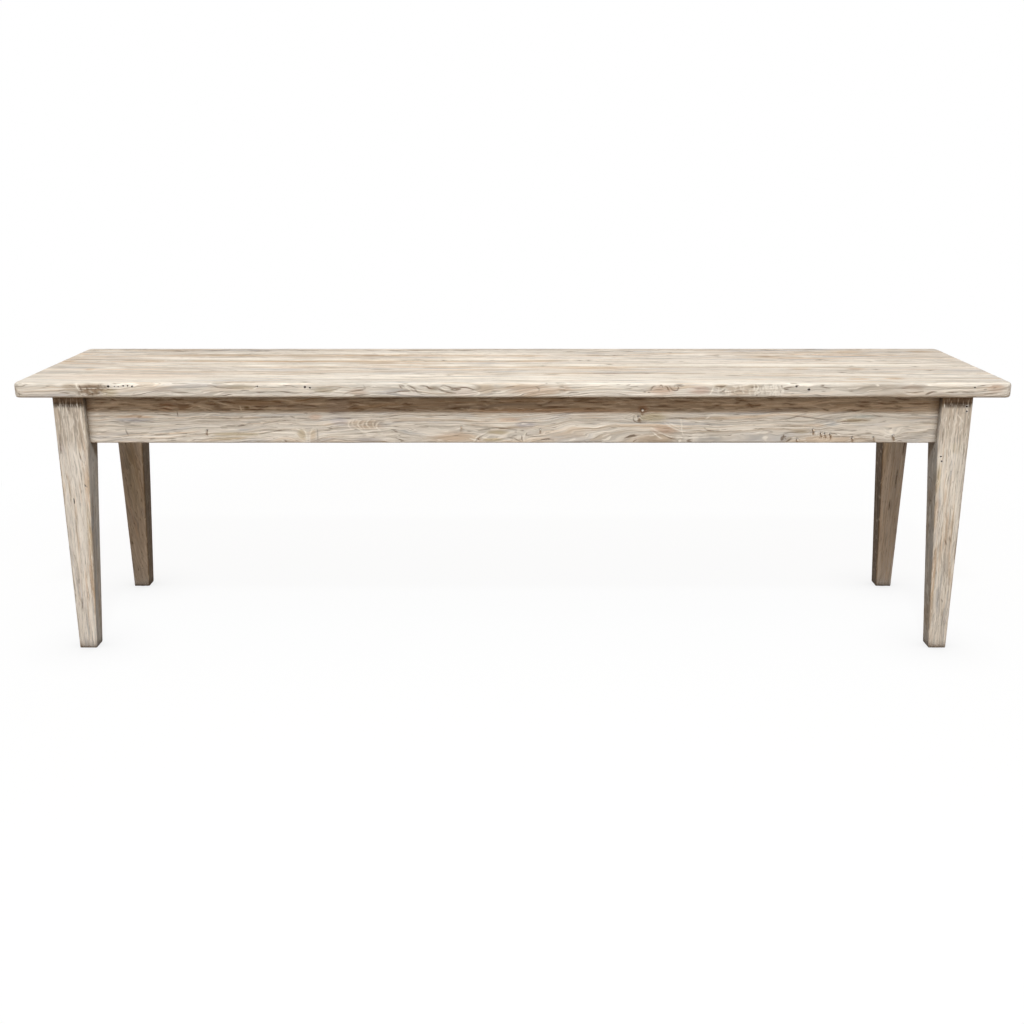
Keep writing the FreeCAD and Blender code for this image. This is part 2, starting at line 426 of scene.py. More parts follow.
@dataclass(frozen=True)
class LimedPine:
    """Old pine, wire-brushed and limed: pale paste in the spring wood, tan summer wood standing proud.

    Attributes:
        name: the material's name.
        seed: shifts every pattern, so that no two boards match.
        grain: the way the fibres run.
        pith: where the tree's middle lies across the board, in millimetres of the turned frame.
        tilt: how far the board was sawn off the tree's line, in degrees.
        ring_width: spacing of the growth rings, in millimetres.
        wander: slow bends in the grain, in millimetres.
        ripple: quick waves in the grain, in millimetres.
        quiver: the smallest waves, in millimetres.
        stretch: how long the layers are drawn out along the grain.
        lime: how much paste stays in the spring wood, from 0 to 1.
        contrast: how dark the summer wood is, from 0 to 1.
        warm: share of the warm streaks, from 0 to 1.
        cool: share of the silvered streaks, from 0 to 1.
        checks: how dark the fine drying cracks are, from 0 to 1.
        spots: how dark the old nail stains and pin knots are, from 0 to 1.
        corner_shade: how dark the painted shade in corners and recesses is, from 0 to 1.
        corner_shade_reach: how far from a corner the painted shade reaches, in millimetres.
        spring: colour of the limed spring wood.
        summer: colour of the summer wood.
        paste: colour of the lime paste itself.
        resin: colour of checks, resin and dirt.
        edge_wear_and_highlight_tone: colour of the rubbed edges, which on the seat's pale planks also
            stands in for a painted highlight.
        edge_wear_and_highlight_share: how strongly the edges are rubbed and lightened, from 0 to 1.
        bends: knots and loops in the board.
    """

    name: str
    seed: float
    grain: Grain = Grain.ALONG_X
    pith: tuple[float, float] = (30.0, -60.0)
    tilt: tuple[float, float] = (0.6, 0.8)
    ring_width: float = 6.5
    wander: float = 14.0
    ripple: float = 4.0
    quiver: float = 0.8
    stretch: float = 1.0
    lime: float = 0.75
    contrast: float = 0.7
    warm: float = 0.55
    cool: float = 0.5
    checks: float = 0.75
    spots: float = 0.45
    # Painted shade: ambient occlusion darkens the wood in corners, recesses and holes, where shade falls.
    corner_shade: float = 0.9
    corner_shade_reach: float = 28.0
    spring: str = "#e2dacf"
    summer: str = "#b7a48e"
    paste: str = "#faf4e9"
    resin: str = "#6f5c48"
    # The edge tone is rubbed wear, and on the seat's pale planks partly a painted highlight on the arrises.
    edge_wear_and_highlight_tone: str = "#f6efe2"
    edge_wear_and_highlight_share: float = 0.4
    bends: tuple[Bend, ...] = ()

    def streaks(self) -> dict[str, Streak]:
        """Lists the layers of the pattern.

        The finest ones are drawn about three times as wide as real pine fibres, which would not show.

        Returns:
            Name of the layer to its noise.
        """
        return {
            "fibres": Streak(1.3, 60.0, 0.3, 0.7, 0.84, 1.12),
            "lines": Streak(2.8, 120.0, 0.32, 0.68, 0.88, 1.08),
            "bands": Streak(13.0, 330.0, 0.32, 0.68, 0.9, 1.08),
            "patches": Streak(40.0, 420.0, 0.3, 0.7, 0.93, 1.05),
            "warm": Streak(7.0, 190.0, 0.5, 0.66, 0.0, self.warm, 3.0),
            "cool": Streak(8.0, 150.0, 0.54, 0.67, 0.0, self.cool, 3.0),
            "pasted": Streak(5.0, 80.0, 0.38, 0.6, 0.1, self.lime, 3.0),
            "strong": Streak(16.0, 170.0, 0.34, 0.62, 0.2 * self.contrast, self.contrast),
            "faint": Streak(12.0, 110.0, 0.4, 0.66, 0.1 * self.contrast, 0.6 * self.contrast),
            "flecks": Streak(1.1, 26.0, 0.63, 0.71, 0.0, self.lime, 1.0),
            "checks": Streak(1.1, 28.0, 0.65, 0.72, 0.0, self.checks, 1.0),
            "spots": Streak(2.2, 15.0, 0.71, 0.78, 0.0, self.spots, 1.0),
            "ragged": Streak(1.6, 9.0, 0.3, 0.55, 0.5, 1.0),
        }

    def material(self) -> bpy.types.Material:
        """Builds the finish.

        Returns:
            A material on Object coordinates, in millimetres along and across the grain.
        """
        #         Brushing and liming leave a chalky, matt face: cream lines sunk between tan ones, edges
        #         rubbed, and on the seat's planks the edges lightened further as a painted highlight.
        material, tree = new_material(self.name)
        place = add_node(tree, "ShaderNodeTexCoord", out="Object")
        fibre = add_node(tree, "ShaderNodeMapping", {
            "Vector": place, "Scale": (1 / MM,) * 3, "Rotation": self.grain.turn(),
            "Location": [self.seed * shift for shift in (517.0, 91.0, 37.0)],
        })
        rings = self.rings(tree, place, fibre)
        shares = self.shares(tree, fibre, rings)
        relief: object = 0.0
        for name, weight in (("fibres", 4.0), ("summer", 0.6), ("checks", -0.8), ("drawn_resin", -0.8)):
            relief = add_node(
                tree, "ShaderNodeMath", {0: shares[name], 1: weight, 2: relief}, operation="MULTIPLY_ADD"
            )
        bump = add_node(tree, "ShaderNodeBump", {"Height": relief, "Strength": 0.7, "Distance": 0.5 * MM})
        rough = add_node(tree, "ShaderNodeMapRange", {
            "Value": shares["fibres"], "From Min": 0.84, "From Max": 1.12, "To Min": 0.92, "To Max": 0.74,
        })
        surface = add_node(tree, "ShaderNodeBsdfPrincipled", {
            "Base Color": self.colours(tree, shares), "Roughness": rough, "Normal": bump,
            "Specular IOR Level": 0.25,
        })
        add_node(tree, "ShaderNodeOutputMaterial", {"Surface": surface})
        return material

    def rings(self, tree: bpy.types.NodeTree, place: Socket, fibre: Socket) -> Socket:
        """Counts the growth rings from the pith, bent by the board's wander and knots.

        Args:
            tree: the material's nodes.
            place: Object coordinates, in metres.
            fibre: the same in millimetres, turned so that the fibres run along X.

        Returns:
            The ring count, whose whole numbers are the ends of the growing seasons.
        """
        tilt = (0.0, *(math.radians(angle) for angle in self.tilt))
        sawn = add_node(tree, "ShaderNodeMapping", {
            "Vector": place, "Scale": (1 / MM,) * 3, "Location": (0.0, *self.pith),
            "Rotation": [turn + lean for turn, lean in zip(self.grain.turn(), tilt)],
        })
        for spread, across, along in (
            (self.wander, 80.0, 300.0), (self.ripple, 24.0, 75.0), (self.quiver, 8.0, 22.0)
        ):
            stretched = add_node(tree, "ShaderNodeMapping", {
                "Vector": fibre, "Scale": (1 / along, 1 / across, 1 / across), "Location": (spread,) * 3,
            })
            waves = add_node(
                tree, "ShaderNodeTexNoise", {"Vector": stretched, "Scale": 1.0, "Detail": 1.0}, "Color"
            )
            centred = add_node(
                tree, "ShaderNodeVectorMath", {0: waves, 1: (0.5,) * 3}, operation="SUBTRACT"
            )
            sawn = add_node(tree, "ShaderNodeVectorMath", {
                0: centred, 1: (2 * spread,) * 3, 2: sawn,
            }, operation="MULTIPLY_ADD")
        section = add_node(
            tree, "ShaderNodeVectorMath", {0: sawn, 1: (0.0, 1.0, 1.0)}, operation="MULTIPLY"
        )
        radius = add_node(tree, "ShaderNodeVectorMath", {0: section}, "Value", operation="LENGTH")
        count = add_node(tree, "ShaderNodeMath", {0: radius, 1: self.ring_width}, operation="DIVIDE")
        for bend in self.bends:
            near = add_node(tree, "ShaderNodeMapping", {
                "Vector": place, "Scale": [1 / (r * MM) for r in bend.reach],
                "Location": [-p / r for p, r in zip(bend.place, bend.reach)],
            })
            square = add_node(
                tree, "ShaderNodeVectorMath", {0: near, 1: near}, "Value", operation="DOT_PRODUCT"
            )
            hill = add_node(tree, "ShaderNodeMath", {0: math.exp(-1.0), 1: square}, operation="POWER")
            count = add_node(
                tree, "ShaderNodeMath", {0: hill, 1: bend.rings, 2: count}, operation="MULTIPLY_ADD"
            )
        return count

    def shares(self, tree: bpy.types.NodeTree, fibre: Socket, rings: Socket) -> dict[str, Socket]:
        """Works out how much of each layer shows at each place.

        The layers are sampled along the fibres and across the rings, so that they bend with the rings.

        Args:
            tree: the material's nodes.
            fibre: millimetres, turned so that the fibres run along X.
            rings: the ring count.

        Returns:
            Name of the layer to its share.
        """
        along = add_node(tree, "ShaderNodeSeparateXYZ", {0: fibre}, "X")
        aside = add_node(tree, "ShaderNodeSeparateXYZ", {0: fibre}, "Y")
        radius = add_node(tree, "ShaderNodeMath", {0: rings, 1: self.ring_width}, operation="MULTIPLY")
        flow = add_node(tree, "ShaderNodeCombineXYZ", {"X": along, "Y": radius, "Z": aside})
        shares = {
            name: add_node(tree, "ShaderNodeAttribute", out="Fac", attribute_name=name)
            for name in ("edge", *(filling.value for filling in Filling))
        }
        # Ambient occlusion, which sets where shade is painted into corners and recesses.
        shares["open"] = add_node(
            tree, "ShaderNodeAmbientOcclusion", {"Distance": self.corner_shade_reach * MM}, "AO", samples=6
        )
        for number, (name, streak) in enumerate(self.streaks().items()):
            stretched = add_node(tree, "ShaderNodeMapping", {
                "Vector": flow, "Location": (7.3 * number, 3.1 * number, self.seed),
                "Scale": (1 / (self.stretch * streak.along), 1 / streak.across, 0.2 / streak.across),
            })
            noise = add_node(tree, "ShaderNodeTexNoise", {
                "Vector": stretched, "Scale": 1.0, "Detail": streak.detail, "Roughness": 0.55,
            })
            shares[name] = add_node(tree, "ShaderNodeMapRange", {
                "Value": noise, "From Min": streak.low, "From Max": streak.high,
                "To Min": streak.start, "To Max": streak.end,
            }, interpolation_type="SMOOTHSTEP")
        for name, times in (("ring", 1.0), ("thread", 3.0)):
            count = add_node(tree, "ShaderNodeMath", {0: rings, 1: times}, operation="MULTIPLY")
            year = add_node(tree, "ShaderNodeMath", {0: count}, operation="FLOOR")
            shares[f"{name}_phase"] = add_node(tree, "ShaderNodeMath", {0: count}, operation="FRACT")
            shares[f"{name}_year"] = add_node(
                tree, "ShaderNodeTexWhiteNoise", {"W": year}, noise_dimensions="1D"
            )
        for name, source, low, high in (
            ("summer_rise", "ring_phase", 0.58, 0.92), ("summer_end", "ring_phase", 1.0, 0.95),
            ("summer_year", "ring_year", 0.25, 1.0), ("spring_start", "ring_phase", 0.0, 0.03),
            ("spring_end", "ring_phase", 0.2, 0.05), ("spring_year", "ring_year", 0.75, 0.2),
            ("thread_rise", "thread_phase", 0.55, 0.9), ("thread_end", "thread_phase", 1.0, 0.92),
            ("thread_year", "thread_year", 0.4, 1.0), ("edge_rim", "edge", 0.3, 0.66),
            ("corner", "open", 0.85, 0.4),
        ):
            shares[name] = add_node(
                tree, "ShaderNodeMapRange", {"Value": shares[source], "From Min": low, "From Max": high},
                interpolation_type="SMOOTHSTEP",
            )
        for name, factors in {
            "summer": ("summer_rise", "summer_end", "summer_year", "strong"),
            "spring": ("spring_start", "spring_end", "spring_year", "pasted"),
            "threads": ("thread_rise", "thread_end", "thread_year", "faint"),
            "rubbed": ("edge_rim", "pasted"),
            "drawn_lime": ("lime", "ragged"),
            "drawn_resin": ("resin", "ragged"),
        }.items():
            total: object = 1.0
            for factor in factors:
                total = add_node(
                    tree, "ShaderNodeMath", {0: total, 1: shares[factor]}, operation="MULTIPLY"
                )
            shares[name] = total
        return shares

    def colours(self, tree: bpy.types.NodeTree, shares: Mapping[str, Socket]) -> Socket:
        """Lays the colours of the wood over each other.

        Args:
            tree: the material's nodes.
            shares: how much of each layer shows.

        Returns:
            The colour of the surface.
        """
        stain = add_node(tree, "ShaderNodeAttribute", out="Color", attribute_name="stain")
        summer, paste, resin = linear(self.summer), linear(self.paste), linear(self.resin)
        wood: object = linear(self.spring)
        for share, over, mode in (
            (shares["summer"], summer, "MIX"), (shares["threads"], summer, "MIX"),
            (shares["warm"], linear("#ccb192"), "MIX"), (shares["cool"], linear("#babbbf"), "MIX"),
            (stain.node.outputs["Alpha"], stain, "MIX"),
            (1.0, shares["patches"], "MULTIPLY"), (1.0, shares["bands"], "MULTIPLY"),
            (1.0, shares["lines"], "MULTIPLY"), (1.0, shares["fibres"], "MULTIPLY"),
            (shares["spring"], paste, "MIX"), (shares["flecks"], paste, "MIX"),
            (shares["checks"], resin, "MIX"), (shares["spots"], resin, "MIX"),
            (shares["drawn_resin"], resin, "MIX"), (shares["drawn_lime"], paste, "MIX"),
        ):
            wood = add_node(
                tree, "ShaderNodeMix", {"Factor": share, "A": wood, "B": over}, "Result",
                data_type="RGBA", blend_type=mode,
            )
        # The edges' rubbed tone, on the seat's planks partly a painted highlight, then painted shade: dark
        # brown wherever ambient occlusion finds a corner, recess or hole.
        for name, most, over in (
            ("rubbed", self.edge_wear_and_highlight_share, linear(self.edge_wear_and_highlight_tone)), ("corner", self.corner_shade, linear("#4d3c2a"))
        ):
            share = add_node(tree, "ShaderNodeMath", {0: shares[name], 1: most}, operation="MULTIPLY")
            wood = add_node(
                tree, "ShaderNodeMix", {"Factor": share, "A": wood, "B": over}, "Result", data_type="RGBA"
            )
        return wood


@dataclass(frozen=True)
class PlainFinish:
    """An even material with one pattern, for the pieces that are out of sight.

    Attributes:
        name: the material and how its surface was made.
        body: its main colour.
        marks: the colour of its pattern.
        spacing: the pattern's spacing along the grain, across it and through it, in millimetres.
        grain: the way the fibres run.
        detail: how many finer octaves the pattern has.
        shows: the noise at which the pattern starts to show, and at which it shows in full.
        most: how strongly it shows in full, from 0 to 1.
        rough: roughness in the pattern's hollows and on its heights.
        relief: how strongly the pattern stands out, from 0 to 1.
        depth: how deep its relief is, in millimetres.
        sheen: how strongly the surface reflects, 0.5 being usual.
        ior: its index of refraction.
        metallic: 1 for a metal, otherwise 0.
    """

    name: str
    body: str
    marks: str
    spacing: tuple[float, float, float]
    grain: Grain = Grain.ALONG_X
    detail: float = 3.0
    shows: tuple[float, float] = (0.0, 1.0)
    most: float = 1.0
    rough: tuple[float, float] = (0.6, 0.6)
    relief: float = 0.0
    depth: float = 0.2
    sheen: float = 0.5
    ior: float = 1.5
    metallic: float = 0.0

    def material(self) -> bpy.types.Material:
        """Builds the finish.

        Returns:
            A material on Object coordinates, in millimetres along and across the grain.
        """
        material, tree = new_material(self.name)
        place = add_node(tree, "ShaderNodeTexCoord", out="Object")
        turned = add_node(tree, "ShaderNodeMapping", {
            "Vector": place, "Scale": (1 / MM,) * 3, "Rotation": self.grain.turn(),
        })
        stretched = add_node(tree, "ShaderNodeMapping", {
            "Vector": turned, "Scale": [1 / width for width in self.spacing],
        })
        pattern = add_node(tree, "ShaderNodeTexNoise", {
            "Vector": stretched, "Scale": 1.0, "Detail": self.detail,
        })
        share = add_node(tree, "ShaderNodeMapRange", {
            "Value": pattern, "From Min": self.shows[0], "From Max": self.shows[1], "To Max": self.most,
        })
        colour = add_node(tree, "ShaderNodeMix", {
            "Factor": share, "A": linear(self.body), "B": linear(self.marks),
        }, "Result", data_type="RGBA")
        rough = add_node(tree, "ShaderNodeMapRange", {
            "Value": pattern, "From Min": 0.3, "From Max": 0.7,
            "To Min": self.rough[0], "To Max": self.rough[1],
        })
        bump = add_node(tree, "ShaderNodeBump", {
            "Height": pattern, "Strength": self.relief, "Distance": self.depth * MM,
        })
        surface = add_node(tree, "ShaderNodeBsdfPrincipled", {
            "Base Color": colour, "Roughness": rough, "Normal": bump, "Specular IOR Level": self.sheen,
            "IOR": self.ior, "Metallic": self.metallic,
        })
        add_node(tree, "ShaderNodeOutputMaterial", {"Surface": surface})
        return material


def deselect_all() -> None:
    """Leaves nothing selected in object mode."""
    if bpy.context.object and bpy.context.object.mode != "OBJECT":
        bpy.ops.object.mode_set(mode="OBJECT")
    bpy.ops.object.select_all(action="DESELECT")


def make_only_active(piece: bpy.types.Object) -> None:
    """Selects one piece alone and makes it active.

    Args:
        piece: the piece.
    """
    deselect_all()
    piece.select_set(True)
    bpy.context.view_layer.objects.active = piece


class Part(Enum):
    """A kind of part of a mesh, as Blender's select mode calls it."""

    EDGE = "EDGE"
    FACE = "FACE"


def select(
    piece: bpy.types.Object, kind: Part, test: Callable[[bmesh.types.BMEdge | bmesh.types.BMFace], bool]
) -> None:
    """Selects edges or faces of the piece being edited.

    Args:
        piece: the piece in edit mode.
        kind: edges or faces.
        test: tells from a part's place or normal whether it is wanted.
    """
    shell = bmesh.from_edit_mesh(piece.data)
    bpy.ops.mesh.select_mode(type=kind.value)
    bpy.ops.mesh.select_all(action="DESELECT")
    for part in shell.edges if kind is Part.EDGE else shell.faces:
        if test(part):
            part.select_set(True)
    bmesh.update_edit_mesh(piece.data)


def apply_modifier(piece: bpy.types.Object, kind: str, **settings: object) -> None:
    """Adds a modifier and applies it at once.

    Args:
        piece: the piece that takes it.
        kind: the modifier's type.
        settings: its settings.
    """
    make_only_active(piece)
    modifier = piece.modifiers.new(kind.lower(), kind)
    for name, value in settings.items():
        setattr(modifier, name, value)
    bpy.ops.object.modifier_apply(modifier=modifier.name)


def steps(low: float, high: float, pitch: float) -> list[float]:
    """Evenly spaced cuts between two ends.

    Args:
        low: the lower end.
        high: the upper end.
        pitch: the widest spacing.

    Returns:
        The places of the cuts, without the ends.
    """
    count = max(1, math.ceil((high - low) / pitch))
    return [low + (high - low) * i / count for i in range(1, count)]


def vertex_values(piece: bpy.types.Object, what: str) -> np.ndarray:
    """Reads the places or the normals of a piece's vertices.

    Args:
        piece: the piece.
        what: co for the places in metres, normal for the normals.

    Returns:
        One row of x, y and z per vertex.
    """
    values = np.empty(len(piece.data.vertices) * 3)
    piece.data.vertices.foreach_get(what, values)
    return values.reshape(-1, 3)


def weight_group(piece: bpy.types.Object, name: str, shares: np.ndarray) -> None:
    """Makes a vertex group from shares, rounded to a few grades.

    Args:
        piece: the piece that takes the group.
        name: the group's name.
        shares: one share from 0 to 1 per vertex.
    """
    group = piece.vertex_groups.new(name=name)
    grades = np.round(shares * GROUP_GRADES).astype(int)
    for grade in range(1, GROUP_GRADES + 1):
        group.add(np.nonzero(grades == grade)[0].tolist(), grade / GROUP_GRADES, "REPLACE")


@dataclass
class Board:
    """One sawn and weathered board of the bench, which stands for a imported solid.

    Attributes:
        node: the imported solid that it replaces.
        finish: its limed finish.
        figures: the marks drawn on its faces.
        flaws: worm holes and shakes sunk into it.
        low: its lowest corner.
        high: its highest corner.
        pitch: spacing of the cuts along x, y and z before the last divisions.
        halvings: how often every face is then halved each way.
        cuts: how many more cuts a face gets that carries lines.
        relief: depth of the brushed grain.
        sag: depth of the slow unevenness.
        wear: depth of the dents along its edges.
        groove: depth of the dark lines.
        edge_reach: how far from an edge it is worn.
    """

    node: str
    finish: LimedPine
    figures: tuple[Figure, ...] = ()
    flaws: tuple[Flaw, ...] = ()
    low: Vector = field(init=False)
    high: Vector = field(init=False)
    pitch: tuple[float, float, float] = (16 * MM, 6 * MM, 6 * MM)
    halvings: int = 2
    cuts: Mapping[Face, int] = field(default_factory=lambda: {Face.FRONT: 1})
    relief: float = 0.18 * MM
    sag: float = 0.3 * MM
    wear: float = 0.6 * MM
    groove: float = 0.45 * MM
    edge_reach: float = 6 * MM

    def __post_init__(self) -> None:
        """Takes the board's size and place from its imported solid."""
        self.low, self.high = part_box(self.node)

    def build(self) -> bpy.types.Object:
        """Models, weathers and dresses the board.

        Returns:
            The finished piece.
        """
        piece = self.block()
        self.shape(piece)
        self.divide(piece)
        self.paint(piece)
        self.weather(piece)
        if self.flaws:
            self.pierce(piece)
        make_only_active(piece)
        bpy.ops.object.shade_smooth_by_angle(angle=math.radians(SMOOTH_ANGLE))
        piece.data.materials.clear()
        piece.data.materials.append(self.finish.material())
        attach(piece, "root")
        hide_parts(self.node)
        LOG.info("%s: %d faces", piece.name, len(piece.data.polygons))
        return piece

    def block(self) -> bpy.types.Object:
        """Adds the sawn block at its size and place.

        Returns:
            The block, left in edit mode.
        """
        deselect_all()
        bpy.ops.mesh.primitive_cube_add(size=1.0, location=(self.low + self.high) / 2)
        piece = bpy.context.object
        piece.name = f"{self.node}_board"
        piece.scale = self.high - self.low
        bpy.ops.object.transform_apply(location=True, rotation=True, scale=True)
        bpy.ops.object.mode_set(mode="EDIT")
        return piece

    def shape(self, piece: bpy.types.Object) -> None:
        """Eases the edges of the block. Each kind of board has its own way."""

    def divide(self, piece: bpy.types.Object) -> None:
        """Cuts the board into a grid fine enough for its surface, and finer where a side carries a figure.

        Args:
            piece: the board in edit mode.
        """
        for axis in (2, 1, 0):
            normal = [float(i == axis) for i in range(3)]
            for place in steps(self.low[axis], self.high[axis], self.pitch[axis]):
                bpy.ops.mesh.select_all(action="SELECT")
                bpy.ops.mesh.bisect(plane_co=[place * n for n in normal], plane_no=normal)
        bpy.ops.object.mode_set(mode="OBJECT")
        apply_modifier(
            piece, "SUBSURF", subdivision_type="SIMPLE", levels=self.halvings, render_levels=self.halvings
        )
        for figure in self.figures:
            _, _, axes, outward = figure.face.value
            if figure.lines and figure.face in self.cuts:
                bpy.ops.object.mode_set(mode="EDIT")
                select(piece, Part.FACE, lambda f: f.normal[axes[2]] * outward > FACE_NORMAL)
                bpy.ops.mesh.subdivide(number_cuts=self.cuts[figure.face])
                bpy.ops.object.mode_set(mode="OBJECT")

    def paint(self, piece: bpy.types.Object) -> None:
        """Paints the figures onto the mesh, as attributes that the finish reads.

        Args:
            piece: the divided board.
        """
        places = vertex_values(piece, "co") / MM
        normals = vertex_values(piece, "normal")
        marks = {filling: np.zeros(len(places)) for filling in Filling}
        tints = np.zeros((len(places), 4))
        for figure in self.figures:
            _, _, (along, up, into), outward = figure.face.value
            near = np.clip(1.6 - np.abs(places[:, into] - figure.plane) / figure.fade, 0.0, 1.0)
            near *= np.clip(2.0 * normals[:, into] * outward, 0.0, 1.0)
            flat = places[:, (along, up)]
            for line in figure.lines:
                marks[line.filling] = np.maximum(marks[line.filling], near * line.cover(flat))
            for stain in figure.stains:
                share = (near * stain.cover(flat))[:, None]
                tints = share * np.array(linear(stain.colour)) + (1.0 - share) * tints
        tints[:, :3] /= np.maximum(tints[:, 3:], 1e-9)
        for filling, shares in marks.items():
            piece.data.attributes.new(filling.value, "FLOAT", "POINT").data.foreach_set("value", shares)
        piece.data.attributes.new("stain", "FLOAT_COLOR", "POINT").data.foreach_set("color", tints.ravel())
        weight_group(piece, "grooves", marks[Filling.RESIN])

    def weather(self, piece: bpy.types.Object) -> None:
        """Sinks the brushed grain, the slow unevenness, the worn edges and the dark lines into the surface.

        Args:
            piece: the divided board.
        """
        self.mark_edges(piece)
        guide = bpy.data.objects.new("grain_guide", None)
        bpy.context.scene.collection.objects.link(guide)
        guide.rotation_euler = [-angle for angle in self.finish.grain.turn()]
        guide.location = Vector((0.37, 0.11, 0.23)) * self.finish.seed
        for name, size, stretch, depth, group in (
            ("brushed_grain", 3.2 * MM, 28.0, self.relief, ""),
            ("slow_unevenness", 45 * MM, 4.0, self.sag, ""),
            ("worn_edge", 14 * MM, 2.5, self.wear, "edges"),
        ):
            texture = bpy.data.textures.new(name, "CLOUDS")
            texture.noise_scale = size
            texture.noise_depth = 2
            guide.scale = (stretch, 1.0, 1.0)
            bpy.context.view_layer.update()
            apply_modifier(
                piece, "DISPLACE", texture=texture, texture_coords="OBJECT", texture_coords_object=guide,
                strength=-depth, mid_level=0.0, vertex_group=group,
            )
            bpy.data.textures.remove(texture)
        bpy.data.objects.remove(guide)
        if self.figures:
            apply_modifier(piece, "DISPLACE", strength=-self.groove, mid_level=0.0, vertex_group="grooves")

    def squared(self, places: np.ndarray) -> np.ndarray:
        """Vertex places as they lay in the block that the board was shaped from."""
        return places

    def worn_box(self) -> tuple[Vector, Vector]:
        """The box whose edges are worn."""
        return self.low, self.high

    def mark_edges(self, piece: bpy.types.Object) -> None:
        """Marks how near each vertex is to an edge of the board, as a group and as an attribute.

        Args:
            piece: the divided board.
        """
        places = self.squared(vertex_values(piece, "co"))
        low, high = (np.array(corner) for corner in self.worn_box())
        gaps = np.sort(np.minimum(places - low, high - places), axis=1)
        share = np.clip(1.0 - gaps[:, 1] / self.edge_reach, 0.0, 1.0)
        piece.data.attributes.new("edge", "FLOAT", "POINT").data.foreach_set("value", share)
        weight_group(piece, "edges", share ** 2)

    def pierce(self, piece: bpy.types.Object) -> None:
        """Cuts the worm holes and shakes into the board.

        Args:
            piece: the weathered board.
        """
        cutters = []
        for flaw in self.flaws:
            deselect_all()
            turn, axis, _, _ = flaw.face.value
            bpy.ops.mesh.primitive_cone_add(
                vertices=HOLE_SIDES, radius1=HOLE_MOUTH, radius2=HOLE_BOTTOM, depth=1.0,
                location=Vector(flaw.place) * MM,
                rotation=[math.radians(t + a * flaw.slant) for t, a in zip(turn, axis)],
            )
            cutter = bpy.context.object
            cutter.scale = (flaw.length * MM, flaw.width * MM, 2 * flaw.depth * MM)
            cutters.append(cutter)
        deselect_all()
        for cutter in cutters:
            cutter.select_set(True)
        bpy.context.view_layer.objects.active = cutters[0]
        bpy.ops.object.join()
        tool = bpy.context.object
        bpy.ops.object.transform_apply(location=True, rotation=True, scale=True)
        apply_modifier(piece, "BOOLEAN", operation="DIFFERENCE", object=tool, solver="EXACT")
        bpy.data.objects.remove(tool)


@dataclass
class SeatPlank(Board):
    """Plank of the seat, rounded along its open edges and barely eased at its joints.

    Attributes:
        rounding: radius of the open upper edges.
        lower_rounding: radius of the open lower edges.
        corner: radius of the seat's corners in plan.
        ease: small bevel at the joints.
    """

    rounding: float = 5.5 * MM
    lower_rounding: float = 4 * MM
    corner: float = 12 * MM
    ease: float = 1.3 * MM
    halvings: int = 1
    cuts: Mapping[Face, int] = field(default_factory=lambda: {Face.TOP: 1, Face.FRONT: 3, Face.BACK: 1})

    def open_sides(self) -> list[float]:
        """Places across the seat where this plank is at the seat's front or back."""
        ends = ((self.low.y, CAD_BOX[0].y), (self.high.y, CAD_BOX[1].y))
        return [y for y, end in ends if abs(y - end) < MM]

    def worn_box(self) -> tuple[Vector, Vector]:
        """Moves the joints of the plank's box out of reach, because only open edges wear.

        Returns:
            The box whose edges are worn.
        """
        low, high = self.low.copy(), self.high.copy()
        for corner, beyond in ((low, -1.0), (high, 1.0)):
            if corner.y not in self.open_sides():
                corner.y += beyond
        return low, high

    def shape(self, piece: bpy.types.Object) -> None:
        """Rounds the corners, then the open edges, then eases the joints.

        Args:
            piece: the block in edit mode.
        """
        sides = self.open_sides()

        def on_open_side(vertex: bmesh.types.BMVert) -> bool:
            """Tells whether a vertex lies on the seat's front or back."""
            return any(abs(vertex.co.y - y) < TINY for y in sides)

        def upright(edge: bmesh.types.BMEdge) -> bool:
            """Tells whether an edge is a corner of the seat."""
            a, b = edge.verts
            return abs(a.co.z - b.co.z) > TINY and on_open_side(a) and on_open_side(b)

        def at_joint(edge: bmesh.types.BMEdge) -> bool:
            """Tells whether an edge runs along a joint.

            Returns:
                True for such an edge.
            """
            a, b = edge.verts
            along = abs(a.co.x - b.co.x) > self.high.x
            joints = [y for y in (self.low.y, self.high.y) if y not in sides]
            return along and any(abs(a.co.y - y) < TINY for y in joints)

        if sides:
            select(piece, Part.EDGE, upright)
            bpy.ops.mesh.bevel(offset=self.corner, segments=5, profile=0.5)
        for height, radius in ((self.high.z, self.rounding), (self.low.z, self.lower_rounding)):
            select(
                piece, Part.EDGE,
                lambda e: all(abs(v.co.z - height) < TINY for v in e.verts) and not at_joint(e),
            )
            bpy.ops.mesh.bevel(offset=radius, segments=3, profile=0.5)
        select(piece, Part.EDGE, at_joint)
        bpy.ops.mesh.bevel(offset=self.ease, segments=1)


@dataclass
class Rail(Board):
    """Rail of the frame, its arrises rubbed off.

    Attributes:
        arris: radius of its long edges.
    """

    arris: float = 2 * MM

    def shape(self, piece: bpy.types.Object) -> None:
        """Eases the long edges.

        Args:
            piece: the block in edit mode.
        """
        size = self.high - self.low
        longest = max(range(3), key=lambda i: size[i])
        half = size[longest] / 2
        select(piece, Part.EDGE, lambda e: abs(e.verts[0].co[longest] - e.verts[1].co[longest]) > half)
        bpy.ops.mesh.bevel(offset=self.arris, segments=3, profile=0.5)


